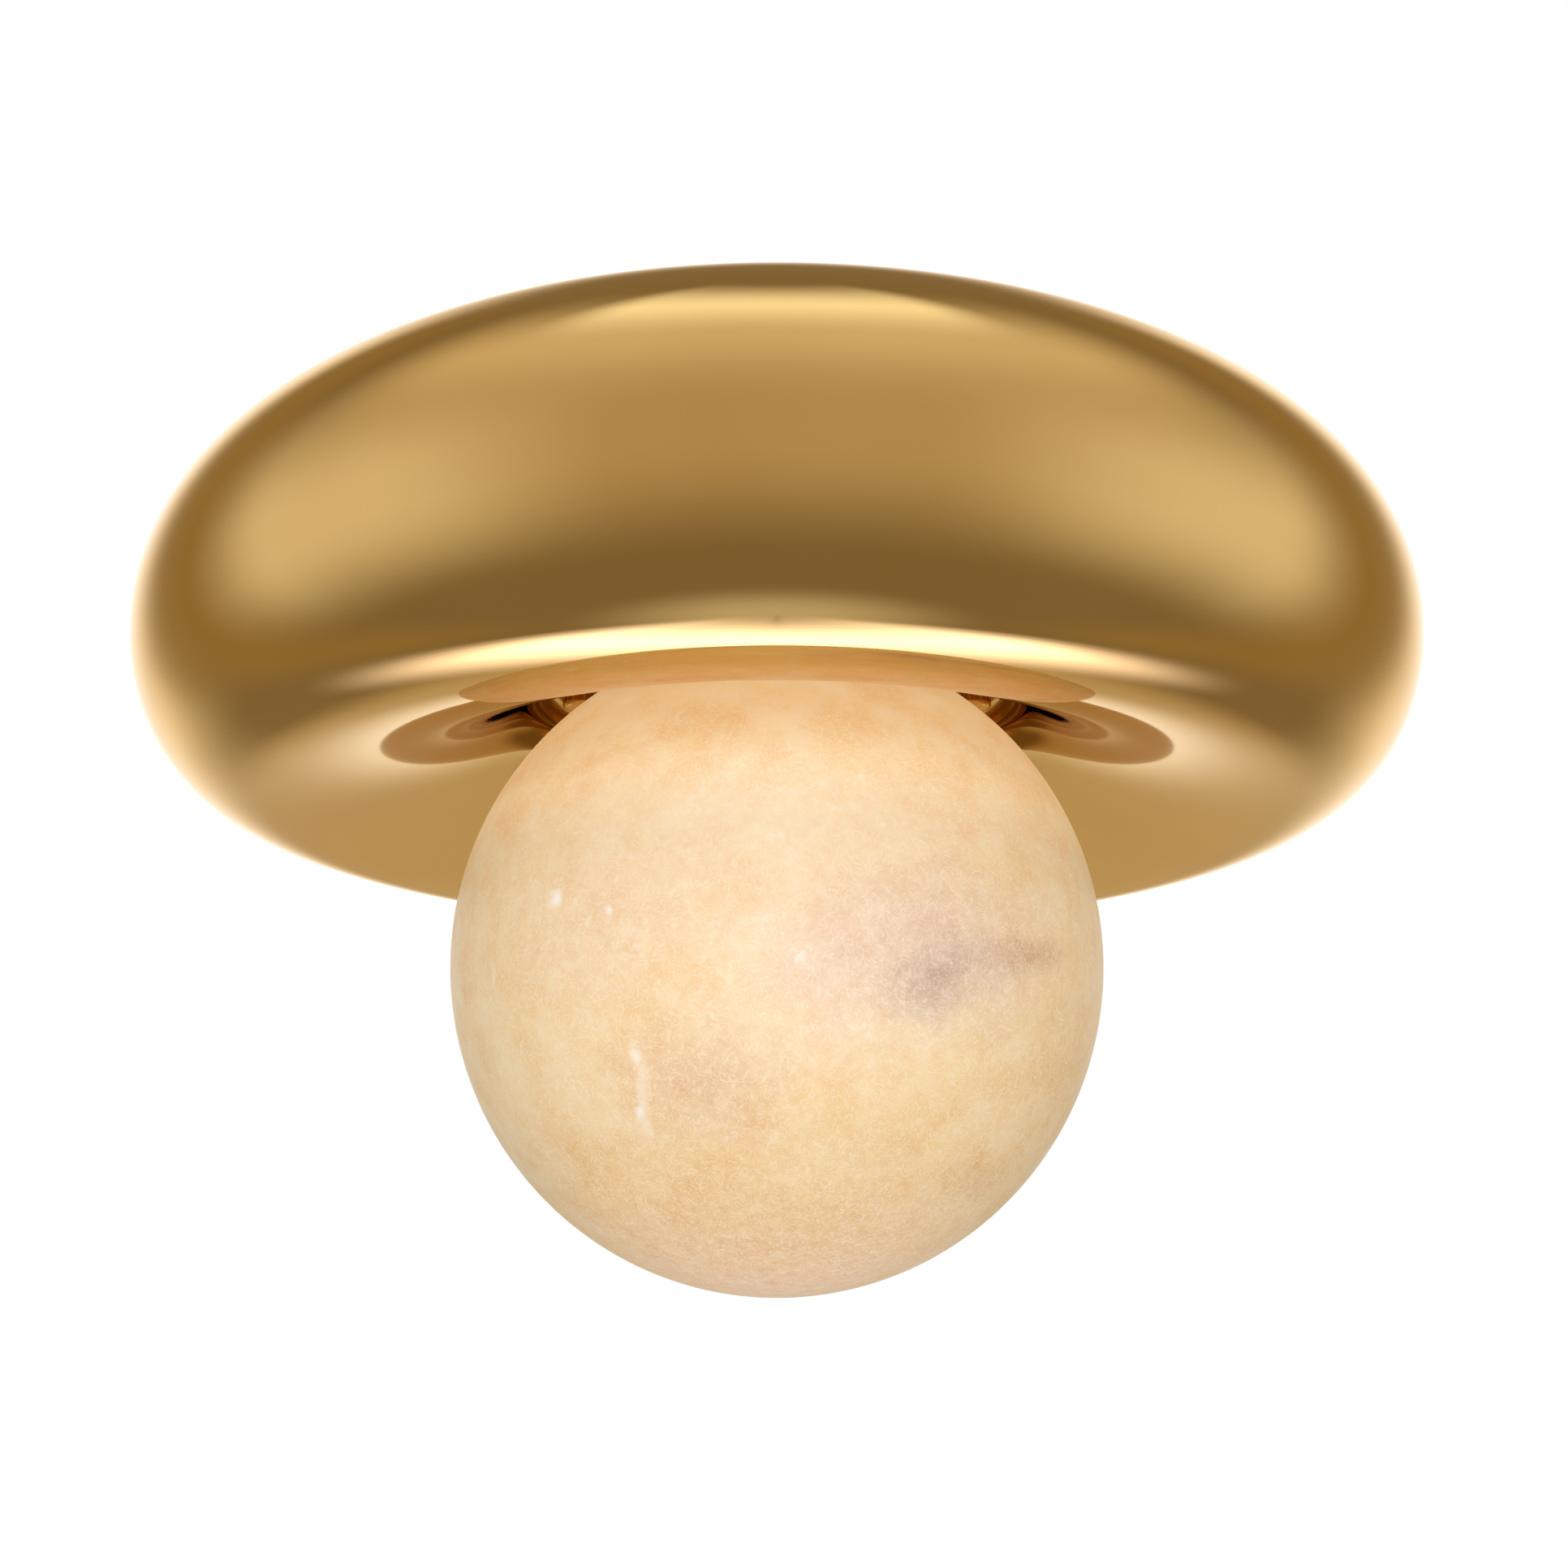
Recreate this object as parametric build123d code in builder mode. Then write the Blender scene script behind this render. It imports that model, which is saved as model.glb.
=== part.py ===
from build123d import *
import math
import os

# A flush ceiling light: a hollow brass ring against the ceiling, and an alabaster globe in its well.
# Origin: the middle of the ceiling plane. +Z points up into the ceiling, so every piece lies below zero.
# Heights are given as depths below the ceiling, in millimetres.

# Brass ring
ring_radius = 200.0
crest_radius = 163.1
crest_depth = 88.2
bulge_depth = 42.4
brass_wall = 1.5
lip_radius = 180.0
lip_lean = 56.4
lip_flange = 14.0
bulge_handle = 17.0
lip_handle = 14.4

# Well in the middle of the ring, and its flat pan
well_radius = 82.0
well_lean = 1.5
well_bend = 3.0
pan_depth = 30.9
crest_handle = 16.0
well_handle = 35.0

# Gasket between the ring and the ceiling
gasket_thickness = 2.0
gasket_inset = 7.0
gasket_width = 5.0

# Steel crossbar that is screwed to the ceiling box
bracket_end = 15.0
bracket_width = 30.0
bracket_thickness = 2.5
bracket_corner = 6.0
bracket_lip_length = 110.0
bracket_lip_height = 4.5
bracket_lip_thickness = 1.5
box_spacing_small = 69.85
box_spacing_large = 88.9
box_slot_width = 4.8
wire_hole_radius = 5.5

# Threaded studs and knurled cap nuts that carry the ring
stud_radius = 2.5
stud_collar_radius = 4.5
stud_collar_thickness = 1.5
stud_end_gap = 1.0
stud_clearance = 0.1
stud_hole_clearance = 0.4
cap_nut_radius = 5.5
cap_nut_height = 9.0
cap_nut_roof = 2.0
cap_nut_dome = 1.6
knurl_count = 20
knurl_radius = 0.5
stud_washer_radius = 6.5
stud_washer_thickness = 1.0

# Steel plate that stiffens the pan
backing_margin = 5.0
backing_thickness = 1.5

# Threaded brass neck that the globe screws onto
neck_outer_radius = 34.9
neck_wall = 2.5
neck_length = 15.0
flange_radius = 47.0
fitter_flange_thickness = 2.0
key_width = 6.2
key_depth = 1.3
key_count = 2
thread_clearance = 0.1

# Countersunk screws and nuts that hold the neck
fitter_screw_circle = 41.0
fitter_screw_count = 3
fitter_screw_start = -90.0
fitter_screw_radius = 1.75
fitter_screw_head_radius = 3.3
fitter_screw_recess = 0.1
fitter_screw_tip = 1.0
fitter_nut_flats = 6.0
fitter_nut_height = 2.8
screw_slot_width = 0.9
screw_slot_depth = 0.6
hole_clearance = 0.2
thread_gap = 0.05

# Slip washer, keyed to the neck
slip_washer_thickness = 1.0
slip_washer_radius = 46.0
key_clearance = 0.1

# Threaded collar bonded into the globe
collar_flange_thickness = 1.5
collar_length = 13.5
collar_wall = 2.7

# Silicone ring between the collar and the stone
neck_gasket_thickness = 1.0

# Alabaster globe
globe_radius = 103.0
globe_wall = 9.0
globe_rim_radius = 50.1
bond_gap = 0.3

# Hollow threaded nipple that carries the lamp holder
nipple_radius = 5.0
nipple_bore_radius = 3.6
nipple_top_reach = 2.0
nipple_nut_flats = 15.0
nipple_nut_height = 3.0
nipple_cap_reach = 3.0

# Lamp holder: brass cap, porcelain body, screw shell, centre contact
cap_gap = 1.0
cap_radius = 21.0
cap_wall = 1.2
cap_overlap = 6.8
cap_edge = 2.0
wiring_height = 13.0
porcelain_gap = 0.2
porcelain_length = 35.0
porcelain_edge = 1.5
cavity_radius = 13.9
cavity_length = 26.0
shell_wall = 0.5
shell_gap = 0.1
shell_end_gap = 1.0
shell_flange_radius = 9.0
guide_bore_radius = 2.1
spring_bore_radius = 4.3
spring_bore_length = 6.0
plunger_clearance = 0.1
plunger_clip_radius = 3.2
plunger_clip_thickness = 0.8
plunger_head_radius = 4.0
plunger_head_thickness = 1.6
plunger_travel = 2.42
plunger_stop_gap = 0.2
spring_wire_radius = 0.3
spring_coils = 4
spring_end_gap = 0.1
socket_screw_radius = 1.5
socket_screw_start = 90.0
socket_screw_count = 2
socket_screw_head_radius = 2.6
socket_screw_head_height = 1.8
socket_terminal_x = 11.3
socket_terminal_length = 5.4
socket_terminal_width = 6.0
socket_terminal_height = 4.5
socket_terminal_edge = 0.5

# Light bulb with a 26 mm screw base
lamp_length = 108.0
lamp_tip_radius = 2.4
lamp_tip_height = 2.0
lamp_insulator_radius = 9.5
lamp_insulator_height = 2.6
lamp_base_radius = 13.1
lamp_base_shoulder = 2.0
lamp_seat_gap = 0.5
lamp_neck_radius = 14.2
lamp_radius = 30.0
heat_sink_length = 32.0
heat_sink_fins = 18
fin_groove_width = 1.6
fin_groove_depth = 1.2
diffuser_wall = 1.2
diffuser_rim_inset = 0.4
led_board_radius = 24.0
led_board_thickness = 1.6
led_chip_size = 2.8
led_chip_height = 0.7
led_chip_circle = 15.0
led_chip_count = 10

# Terminal block on the stiffening plate
block_y = 36.0
block_length = 34.0
block_width = 16.0
block_height = 12.0
block_edge = 1.5
pole_pitch = 10.5
pole_height = 6.5
clamp_radius = 3.0
clamp_bore_radius = 1.9
clamp_end_gap = 0.5
clamp_gap = 0.05
clamp_screw_radius = 1.5
clamp_screw_spacing = 7.0
clamp_screw_sink = 0.8
clamp_screw_hole_radius = 1.9
block_screw_radius = 1.1
block_screw_head_radius = 1.9
block_screw_head_height = 1.3

# Insulated leads
lead_radius = 0.9
lead_inside_clamp = 3.0
lead_spacing = 2.6
lead_run_share = 0.45
lead_arch_height = 15.0
lead_turn_gap = 1.0

# Earth screws: one for the house wire on the crossbar, one for the earth lead on the plate
earth_screw_radius = 2.0
earth_head_radius = 4.0
earth_head_height = 2.2
earth_washer_gap = 0.1
house_earth_x = -20.0
house_earth_length = 8.0
plate_earth_x = 30.0
earth_slot_width = 1.2
earth_slot_depth = 0.8

# Heights worked out from the sizes above
lip_z = -gasket_thickness
crest_z = -crest_depth
bulge_z = -bulge_depth
pan_z = -pan_depth
pan_top_z = pan_z + brass_wall
plate_top_z = pan_top_z + backing_thickness
fitter_z = pan_z - fitter_flange_thickness
washer_z = fitter_z - slip_washer_thickness
collar_z = washer_z - collar_flange_thickness
stone_top_z = collar_z - neck_gasket_thickness
globe_z = stone_top_z - math.sqrt(globe_radius**2 - globe_rim_radius**2)
collar_end_z = washer_z - collar_length
cap_nut_z = pan_z - stud_washer_thickness
cap_nut_end_z = cap_nut_z - cap_nut_height
cap_top_z = pan_z - nipple_nut_height - cap_gap
porcelain_z = cap_top_z - cap_wall - wiring_height
cavity_z = porcelain_z - (porcelain_length - cavity_length)
porcelain_end_z = porcelain_z - porcelain_length
nipple_end_z = cap_top_z - cap_wall - nipple_cap_reach
nipple_top_z = plate_top_z + nipple_nut_height + nipple_top_reach
lamp_tip_z = cavity_z - plunger_head_thickness
block_z = plate_top_z
pole_z = block_z + pole_height

# Radii worked out from the sizes above
neck_inner_radius = neck_outer_radius - neck_wall
thread_radius = neck_outer_radius + thread_clearance
collar_outer_radius = thread_radius + collar_wall
stone_bore_radius = collar_outer_radius + bond_gap
nut_stone_radius = math.sqrt(globe_radius**2 - (cap_nut_end_z - globe_z) ** 2)
stud_x = (nut_stone_radius + well_radius - well_bend) / 2
porcelain_radius = cap_radius - cap_wall - porcelain_gap
socket_screw_circle = (porcelain_radius + cavity_radius) / 2

# Places that several pieces share
stud_places = [(-stud_x, 0), (stud_x, 0)]
pole_places = [-pole_pitch, 0.0, pole_pitch]


def ring_side(inset):
    """Points of the outer half of the ring's section: the visible side, or the hidden one at the wall."""
    lean = math.radians(lip_lean)
    end_x = lip_radius - inset * math.cos(lean) + inset * (1 - math.sin(lean)) * math.tan(lean)
    end = (end_x, lip_z - inset)
    lip_control = (end[0] + lip_handle * math.sin(lean), end[1] - lip_handle * math.cos(lean))
    bulge = (ring_radius - inset, bulge_z)
    bulge_control = (bulge[0], bulge_z + bulge_handle)
    return bulge, bulge_control, lip_control, end


def well_side(inset):
    """Points of the dish's section, from the crest to the pan: visible side, or hidden one at the wall."""
    lean = math.radians(well_lean)
    corner = (well_radius + inset * (1 - math.sin(lean)) / math.cos(lean), pan_z + inset)
    bend = (well_bend + inset) * math.tan((math.pi / 2 - lean) / 2)
    wall_end = (corner[0] + bend * math.sin(lean), corner[1] - bend * math.cos(lean))
    wall_control = (
        wall_end[0] + well_handle * math.sin(lean),
        wall_end[1] - well_handle * math.cos(lean),
    )
    crest = (crest_radius, crest_z + inset)
    crest_control = (crest_radius - crest_handle, crest[1])
    pan_start = (corner[0] - bend, corner[1])
    return crest, crest_control, wall_control, wall_end, pan_start


def lead_radii(points):
    """Arc radius at each corner of a lead: as large as the two runs beside it allow."""
    radii = []
    for before, corner, after in zip(points, points[1:], points[2:]):
        arriving = Vector(*corner) - Vector(*before)
        leaving = Vector(*after) - Vector(*corner)
        half_turn = math.radians(arriving.get_angle(leaving)) / 2
        radii.append(lead_run_share * min(arriving.length, leaving.length) / math.tan(half_turn))
    return radii


# Steel crossbar: flat bar with turned-down edges, two slots for the ceiling box, a hole for the house wires
slot_x = (box_spacing_small + box_spacing_large) / 4
slot_length = (box_spacing_large - box_spacing_small) / 2 + box_slot_width
with BuildPart() as ceiling_bracket:
    with BuildSketch(Plane.XY.offset(-bracket_thickness)):
        RectangleRounded(2 * (stud_x + bracket_end), bracket_width, bracket_corner)
        with Locations((-slot_x, 0), (slot_x, 0)):
            SlotOverall(slot_length, box_slot_width, mode=Mode.SUBTRACT)
        Circle(wire_hole_radius, mode=Mode.SUBTRACT)
        with Locations(*stud_places):
            Circle(stud_radius + thread_gap, mode=Mode.SUBTRACT)
        with Locations((house_earth_x, 0)):
            Circle(earth_screw_radius + thread_gap, mode=Mode.SUBTRACT)
    extrude(amount=bracket_thickness)
    lip_y = (bracket_width - bracket_lip_thickness) / 2
    with BuildSketch(Plane.XY.offset(-bracket_thickness)):
        with Locations((0, -lip_y), (0, lip_y)):
            Rectangle(bracket_lip_length, bracket_lip_thickness)
    extrude(amount=-bracket_lip_height)
ceiling_bracket.part.label = "ceiling_bracket"

# Foam ring pressed between the ring's turned-in lip and the ceiling
gasket_outer_radius = lip_radius - gasket_inset
gasket_inner_radius = gasket_outer_radius - gasket_width
with BuildPart() as ceiling_gasket:
    with BuildSketch(Plane.XY.offset(lip_z)):
        Circle(gasket_outer_radius)
        Circle(gasket_inner_radius, mode=Mode.SUBTRACT)
    extrude(amount=gasket_thickness)
ceiling_gasket.part.label = "ceiling_gasket"

# Outer half of the ring: spun brass from the lowest line, round the bulge, to a lip turned in at the ceiling
bulge, bulge_control, lip_control, lip = ring_side(0)
back_bulge, back_bulge_control, back_lip_control, back_lip = ring_side(brass_wall)
with BuildPart() as outer_ring_shell:
    with BuildSketch(Plane.XZ):
        with BuildLine():
            EllipticalCenterArc(
                (crest_radius, bulge_z),
                ring_radius - crest_radius,
                bulge_z - crest_z,
                start_angle=-90,
                arc_size=90,
            )
            Bezier(bulge, bulge_control, lip_control, lip)
            Polyline(
                lip,
                (lip_radius - lip_flange, lip_z),
                (lip_radius - lip_flange, lip_z - brass_wall),
                back_lip,
            )
            Bezier(back_lip, back_lip_control, back_bulge_control, back_bulge)
            EllipticalCenterArc(
                (crest_radius, bulge_z),
                ring_radius - crest_radius - brass_wall,
                bulge_z - crest_z - brass_wall,
                start_angle=-90,
                arc_size=90,
            )
            Line((crest_radius, crest_z + brass_wall), (crest_radius, crest_z))
        make_face()
    revolve(axis=Axis.Z)
outer_ring_shell.part.label = "outer_ring_shell"

# Inner half of the ring: spun brass dish from the lowest line up the well to the flat pan, brazed at the crest
crest, crest_control, wall_control, wall_end, pan_start = well_side(0)
back_crest, back_crest_control, back_wall_control, back_wall_end, back_pan_start = well_side(brass_wall)
well_direction = (-math.sin(math.radians(well_lean)), math.cos(math.radians(well_lean)))
with BuildPart() as inner_dish_shell:
    with BuildSketch(Plane.XZ):
        with BuildLine():
            Bezier(crest, crest_control, wall_control, wall_end)
            TangentArc(wall_end, pan_start, tangent=well_direction)
            Polyline(pan_start, (0, pan_z), (0, pan_top_z), back_pan_start)
            TangentArc(back_wall_end, back_pan_start, tangent=well_direction)
            Bezier(back_wall_end, back_wall_control, back_crest_control, back_crest)
            Line(back_crest, crest)
        make_face()
    revolve(axis=Axis.Z)
    with BuildSketch(Plane.XY.offset(pan_z)):
        Circle(nipple_radius + hole_clearance)
        with Locations(*stud_places):
            Circle(stud_radius + stud_hole_clearance)
        with PolarLocations(fitter_screw_circle, fitter_screw_count, fitter_screw_start):
            Circle(fitter_screw_radius + hole_clearance)
    extrude(amount=brass_wall, mode=Mode.SUBTRACT)
inner_dish_shell.part.label = "inner_dish_shell"

# Round steel plate on top of the pan that spreads the globe's weight
block_screw_places = [(-pole_pitch / 2, block_y), (pole_pitch / 2, block_y)]
with BuildPart() as backing_plate:
    with BuildSketch(Plane.XY.offset(pan_top_z)):
        Circle(well_radius - backing_margin)
        Circle(nipple_radius + hole_clearance, mode=Mode.SUBTRACT)
        with Locations(*stud_places):
            Circle(stud_radius + stud_hole_clearance, mode=Mode.SUBTRACT)
        with PolarLocations(fitter_screw_circle, fitter_screw_count, fitter_screw_start):
            Circle(fitter_screw_radius + hole_clearance, mode=Mode.SUBTRACT)
        with Locations(*block_screw_places):
            Circle(block_screw_radius + thread_gap, mode=Mode.SUBTRACT)
        with Locations((plate_earth_x, 0)):
            Circle(earth_screw_radius + thread_gap, mode=Mode.SUBTRACT)
    extrude(amount=backing_thickness)
backing_plate.part.label = "backing_plate"

# Two studs riveted into the crossbar, reaching down through the plate and the pan
stud_end_z = cap_nut_end_z + cap_nut_roof + stud_end_gap
with BuildPart() as hanger_studs:
    with BuildSketch():
        with Locations(*stud_places):
            Circle(stud_radius)
    extrude(amount=stud_end_z)
    with BuildSketch(Plane.XY.offset(-bracket_thickness)):
        with Locations(*stud_places):
            Circle(stud_collar_radius)
    extrude(amount=-stud_collar_thickness)
hanger_studs.part.label = "hanger_studs"

# Flat washers under the pan
with BuildPart() as stud_washers:
    with BuildSketch(Plane.XY.offset(cap_nut_z)):
        with Locations(*stud_places):
            Circle(stud_washer_radius)
            Circle(stud_radius + stud_clearance, mode=Mode.SUBTRACT)
    extrude(amount=stud_washer_thickness)
stud_washers.part.label = "stud_washers"

# Knurled brass cap nuts, turned by hand to draw the ring up to the ceiling
with BuildPart() as cap_nuts:
    with BuildSketch(Plane.XY.offset(cap_nut_z)):
        with Locations(*stud_places):
            Circle(cap_nut_radius)
    extrude(amount=-cap_nut_height)
    fillet(cap_nuts.faces().sort_by(Axis.Z)[:2].edges(), radius=cap_nut_dome)
    with BuildSketch(Plane.XY.offset(cap_nut_z)):
        with Locations(*stud_places):
            with PolarLocations(cap_nut_radius, knurl_count):
                Circle(knurl_radius)
    extrude(amount=-(cap_nut_height - cap_nut_dome), mode=Mode.SUBTRACT)
    with BuildSketch(Plane.XY.offset(cap_nut_z)):
        with Locations(*stud_places):
            Circle(stud_radius + stud_clearance)
    extrude(amount=-(cap_nut_height - cap_nut_roof), mode=Mode.SUBTRACT)
cap_nuts.part.label = "cap_nuts"

# Brass neck with a flange: its thread is drawn plain, and two grooves guide the slip washer
with BuildPart() as globe_fitter:
    with BuildSketch(Plane.XY.offset(fitter_z)):
        Circle(flange_radius)
        Circle(neck_inner_radius, mode=Mode.SUBTRACT)
    extrude(amount=fitter_flange_thickness)
    with BuildSketch(Plane.XY.offset(fitter_z)):
        Circle(neck_outer_radius)
        Circle(neck_inner_radius, mode=Mode.SUBTRACT)
        with PolarLocations(neck_outer_radius, key_count):
            Rectangle(2 * key_depth, key_width, mode=Mode.SUBTRACT)
    extrude(amount=-neck_length)
    with Locations(Plane.XY.offset(fitter_z)):
        with PolarLocations(fitter_screw_circle, fitter_screw_count, fitter_screw_start):
            with Locations(Location((0, 0, 0), (180, 0, 0))):
                CounterSinkHole(
                    fitter_screw_radius + hole_clearance,
                    fitter_screw_head_radius + hole_clearance,
                    depth=fitter_flange_thickness,
                )
globe_fitter.part.label = "globe_fitter"

# Countersunk screws through the neck's flange, the pan and the plate
screw_head_z = fitter_z + fitter_screw_recess
screw_cone = fitter_screw_head_radius - fitter_screw_radius
screw_end_z = plate_top_z + fitter_nut_height + fitter_screw_tip
with BuildPart() as fitter_screws:
    with BuildSketch(Plane.XZ):
        with BuildLine():
            Polyline(
                (0, screw_head_z),
                (fitter_screw_head_radius, screw_head_z),
                (fitter_screw_radius, screw_head_z + screw_cone),
                (fitter_screw_radius, screw_end_z),
                (0, screw_end_z),
                close=True,
            )
        make_face()
    one_screw = revolve(axis=Axis.Z, mode=Mode.PRIVATE)
    with PolarLocations(fitter_screw_circle, fitter_screw_count, fitter_screw_start):
        add(one_screw)
    with BuildSketch(Plane.XY.offset(screw_head_z)):
        with PolarLocations(fitter_screw_circle, fitter_screw_count, fitter_screw_start):
            Rectangle(2 * fitter_screw_head_radius, screw_slot_width)
    extrude(amount=screw_slot_depth, mode=Mode.SUBTRACT)
fitter_screws.part.label = "fitter_screws"

# Hexagon nuts of those screws, on top of the plate
with BuildPart() as fitter_nuts:
    with BuildSketch(Plane.XY.offset(plate_top_z)):
        with PolarLocations(fitter_screw_circle, fitter_screw_count, fitter_screw_start):
            RegularPolygon(fitter_nut_flats / 2, 6, major_radius=False)
            Circle(fitter_screw_radius + thread_gap, mode=Mode.SUBTRACT)
    extrude(amount=fitter_nut_height)
fitter_nuts.part.label = "fitter_nuts"

# Nylon washer that keeps the turning collar from binding: two tabs slide in the neck's grooves
with BuildPart() as slip_washer:
    with BuildSketch(Plane.XY.offset(washer_z)):
        Circle(slip_washer_radius)
        Circle(thread_radius, mode=Mode.SUBTRACT)
        with PolarLocations(thread_radius, key_count):
            Rectangle(2 * (key_depth + thread_clearance - key_clearance), key_width - 2 * key_clearance)
    extrude(amount=slip_washer_thickness)
slip_washer.part.label = "slip_washer"

# Brass collar bonded into the globe's mouth: its thread is drawn plain
with BuildPart() as globe_collar:
    with BuildSketch(Plane.XY.offset(collar_z)):
        Circle(flange_radius)
        Circle(thread_radius, mode=Mode.SUBTRACT)
    extrude(amount=collar_flange_thickness)
    with BuildSketch(Plane.XY.offset(collar_end_z)):
        Circle(collar_outer_radius)
        Circle(thread_radius, mode=Mode.SUBTRACT)
    extrude(amount=collar_z - collar_end_z)
globe_collar.part.label = "globe_collar"

# Silicone ring that beds the collar's flange on the stone
with BuildPart() as neck_gasket:
    with BuildSketch(Plane.XY.offset(stone_top_z)):
        Circle(flange_radius)
        Circle(stone_bore_radius, mode=Mode.SUBTRACT)
    extrude(amount=neck_gasket_thickness)
neck_gasket.part.label = "neck_gasket"

# Hollow globe turned from alabaster, cut flat on top, with a round mouth
mouth_height = stone_top_z - globe_z
with BuildPart() as alabaster_globe:
    with Locations((0, 0, globe_z)):
        Sphere(globe_radius)
    split(bisect_by=Plane.XY.offset(stone_top_z), keep=Keep.BOTTOM)
    with Locations((0, 0, globe_z)):
        Sphere(globe_radius - globe_wall, mode=Mode.SUBTRACT)
    with BuildSketch(Plane.XY.offset(globe_z)):
        Circle(stone_bore_radius)
    extrude(amount=mouth_height, mode=Mode.SUBTRACT)
alabaster_globe.part.label = "alabaster_globe"

# Hollow threaded nipple through the plate and the pan: it carries the lamp holder, the leads run inside it
with BuildPart() as centre_nipple:
    with BuildSketch(Plane.XY.offset(nipple_end_z)):
        Circle(nipple_radius)
        Circle(nipple_bore_radius, mode=Mode.SUBTRACT)
    extrude(amount=nipple_top_z - nipple_end_z)
centre_nipple.part.label = "centre_nipple"

# Its two nuts, above the plate and below the pan
with BuildPart() as nipple_nuts:
    for nut_z in (plate_top_z, pan_z - nipple_nut_height):
        with BuildSketch(Plane.XY.offset(nut_z)):
            RegularPolygon(nipple_nut_flats / 2, 6, major_radius=False)
            Circle(nipple_radius + thread_gap, mode=Mode.SUBTRACT)
        extrude(amount=nipple_nut_height)
nipple_nuts.part.label = "nipple_nuts"

# Brass cap of the lamp holder, screwed onto the nipple
with BuildPart() as socket_cap:
    with BuildSketch(Plane.XY.offset(cap_top_z)):
        Circle(cap_radius)
    extrude(amount=porcelain_z - cap_overlap - cap_top_z)
    fillet(socket_cap.faces().sort_by(Axis.Z)[-1].edges(), radius=cap_edge)
    with BuildSketch(Plane.XY.offset(cap_top_z - cap_wall)):
        Circle(cap_radius - cap_wall)
    extrude(amount=-(wiring_height + cap_overlap), mode=Mode.SUBTRACT)
    with BuildSketch(Plane.XY.offset(cap_top_z)):
        Circle(nipple_radius + thread_gap)
        with PolarLocations(socket_screw_circle, socket_screw_count, socket_screw_start):
            Circle(socket_screw_radius + thread_gap)
    extrude(amount=-cap_wall, mode=Mode.SUBTRACT)
socket_cap.part.label = "socket_cap"

# Glazed porcelain body with the cavity for the bulb's base and the bore of the centre contact
with BuildPart() as socket_body:
    with BuildSketch(Plane.XY.offset(porcelain_end_z)):
        Circle(porcelain_radius)
    extrude(amount=porcelain_length)
    fillet(socket_body.faces().sort_by(Axis.Z)[0].edges(), radius=porcelain_edge)
    with BuildSketch(Plane.XY.offset(porcelain_end_z)):
        Circle(cavity_radius)
    extrude(amount=cavity_length, mode=Mode.SUBTRACT)
    with BuildSketch(Plane.XY.offset(cavity_z)):
        Circle(spring_bore_radius)
    extrude(amount=spring_bore_length, mode=Mode.SUBTRACT)
    with BuildSketch(Plane.XY.offset(cavity_z)):
        Circle(guide_bore_radius)
    extrude(amount=porcelain_z - cavity_z, mode=Mode.SUBTRACT)
    with BuildSketch(Plane.XY.offset(porcelain_end_z)):
        with PolarLocations(socket_screw_circle, socket_screw_count, socket_screw_start):
            Circle(socket_screw_radius + hole_clearance)
    extrude(amount=porcelain_length, mode=Mode.SUBTRACT)
    with BuildSketch(Plane.XY.offset(porcelain_end_z)):
        with PolarLocations(socket_screw_circle, socket_screw_count, socket_screw_start):
            Circle(socket_screw_head_radius + hole_clearance)
    extrude(amount=socket_screw_head_height + porcelain_edge, mode=Mode.SUBTRACT)
socket_body.part.label = "socket_body"

# Two long screws that hold the porcelain up in its cap
socket_head_z = porcelain_end_z + porcelain_edge
with BuildPart() as socket_screws:
    with BuildSketch(Plane.XY.offset(socket_head_z)):
        with PolarLocations(socket_screw_circle, socket_screw_count, socket_screw_start):
            Circle(socket_screw_head_radius)
    extrude(amount=socket_screw_head_height)
    with BuildSketch(Plane.XY.offset(socket_head_z)):
        with PolarLocations(socket_screw_circle, socket_screw_count, socket_screw_start):
            Circle(socket_screw_radius)
    extrude(amount=cap_top_z - socket_head_z)
    with BuildSketch(Plane.XY.offset(socket_head_z)):
        with PolarLocations(socket_screw_circle, socket_screw_count, socket_screw_start):
            Rectangle(screw_slot_width, 2 * socket_screw_head_radius)
    extrude(amount=screw_slot_depth, mode=Mode.SUBTRACT)
socket_screws.part.label = "socket_screws"

# Brass screw shell inside the porcelain, flanged at its inner end
shell_outer_radius = cavity_radius - shell_gap
shell_inner_radius = shell_outer_radius - shell_wall
with BuildPart() as socket_screw_shell:
    with BuildSketch(Plane.XY.offset(cavity_z)):
        Circle(shell_outer_radius)
        Circle(shell_inner_radius, mode=Mode.SUBTRACT)
    extrude(amount=-(cavity_length - shell_end_gap))
    with BuildSketch(Plane.XY.offset(cavity_z)):
        Circle(shell_outer_radius)
        Circle(shell_flange_radius, mode=Mode.SUBTRACT)
    extrude(amount=-shell_wall)
socket_screw_shell.part.label = "socket_screw_shell"

# Sprung centre contact: a head that presses on the bulb's tip, a stem in its guide, a clip that stops it
plunger_head_z = lamp_tip_z + plunger_head_thickness
clip_z = porcelain_z + plunger_travel + plunger_stop_gap
stem_radius = guide_bore_radius - plunger_clearance
with BuildPart() as contact_plunger:
    with BuildSketch(Plane.XY.offset(lamp_tip_z)):
        Circle(plunger_head_radius)
    extrude(amount=plunger_head_thickness)
    with BuildSketch(Plane.XY.offset(plunger_head_z)):
        Circle(stem_radius)
    extrude(amount=clip_z - plunger_head_z)
    with BuildSketch(Plane.XY.offset(clip_z)):
        Circle(plunger_clip_radius)
    extrude(amount=plunger_clip_thickness)
contact_plunger.part.label = "contact_plunger"

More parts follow.
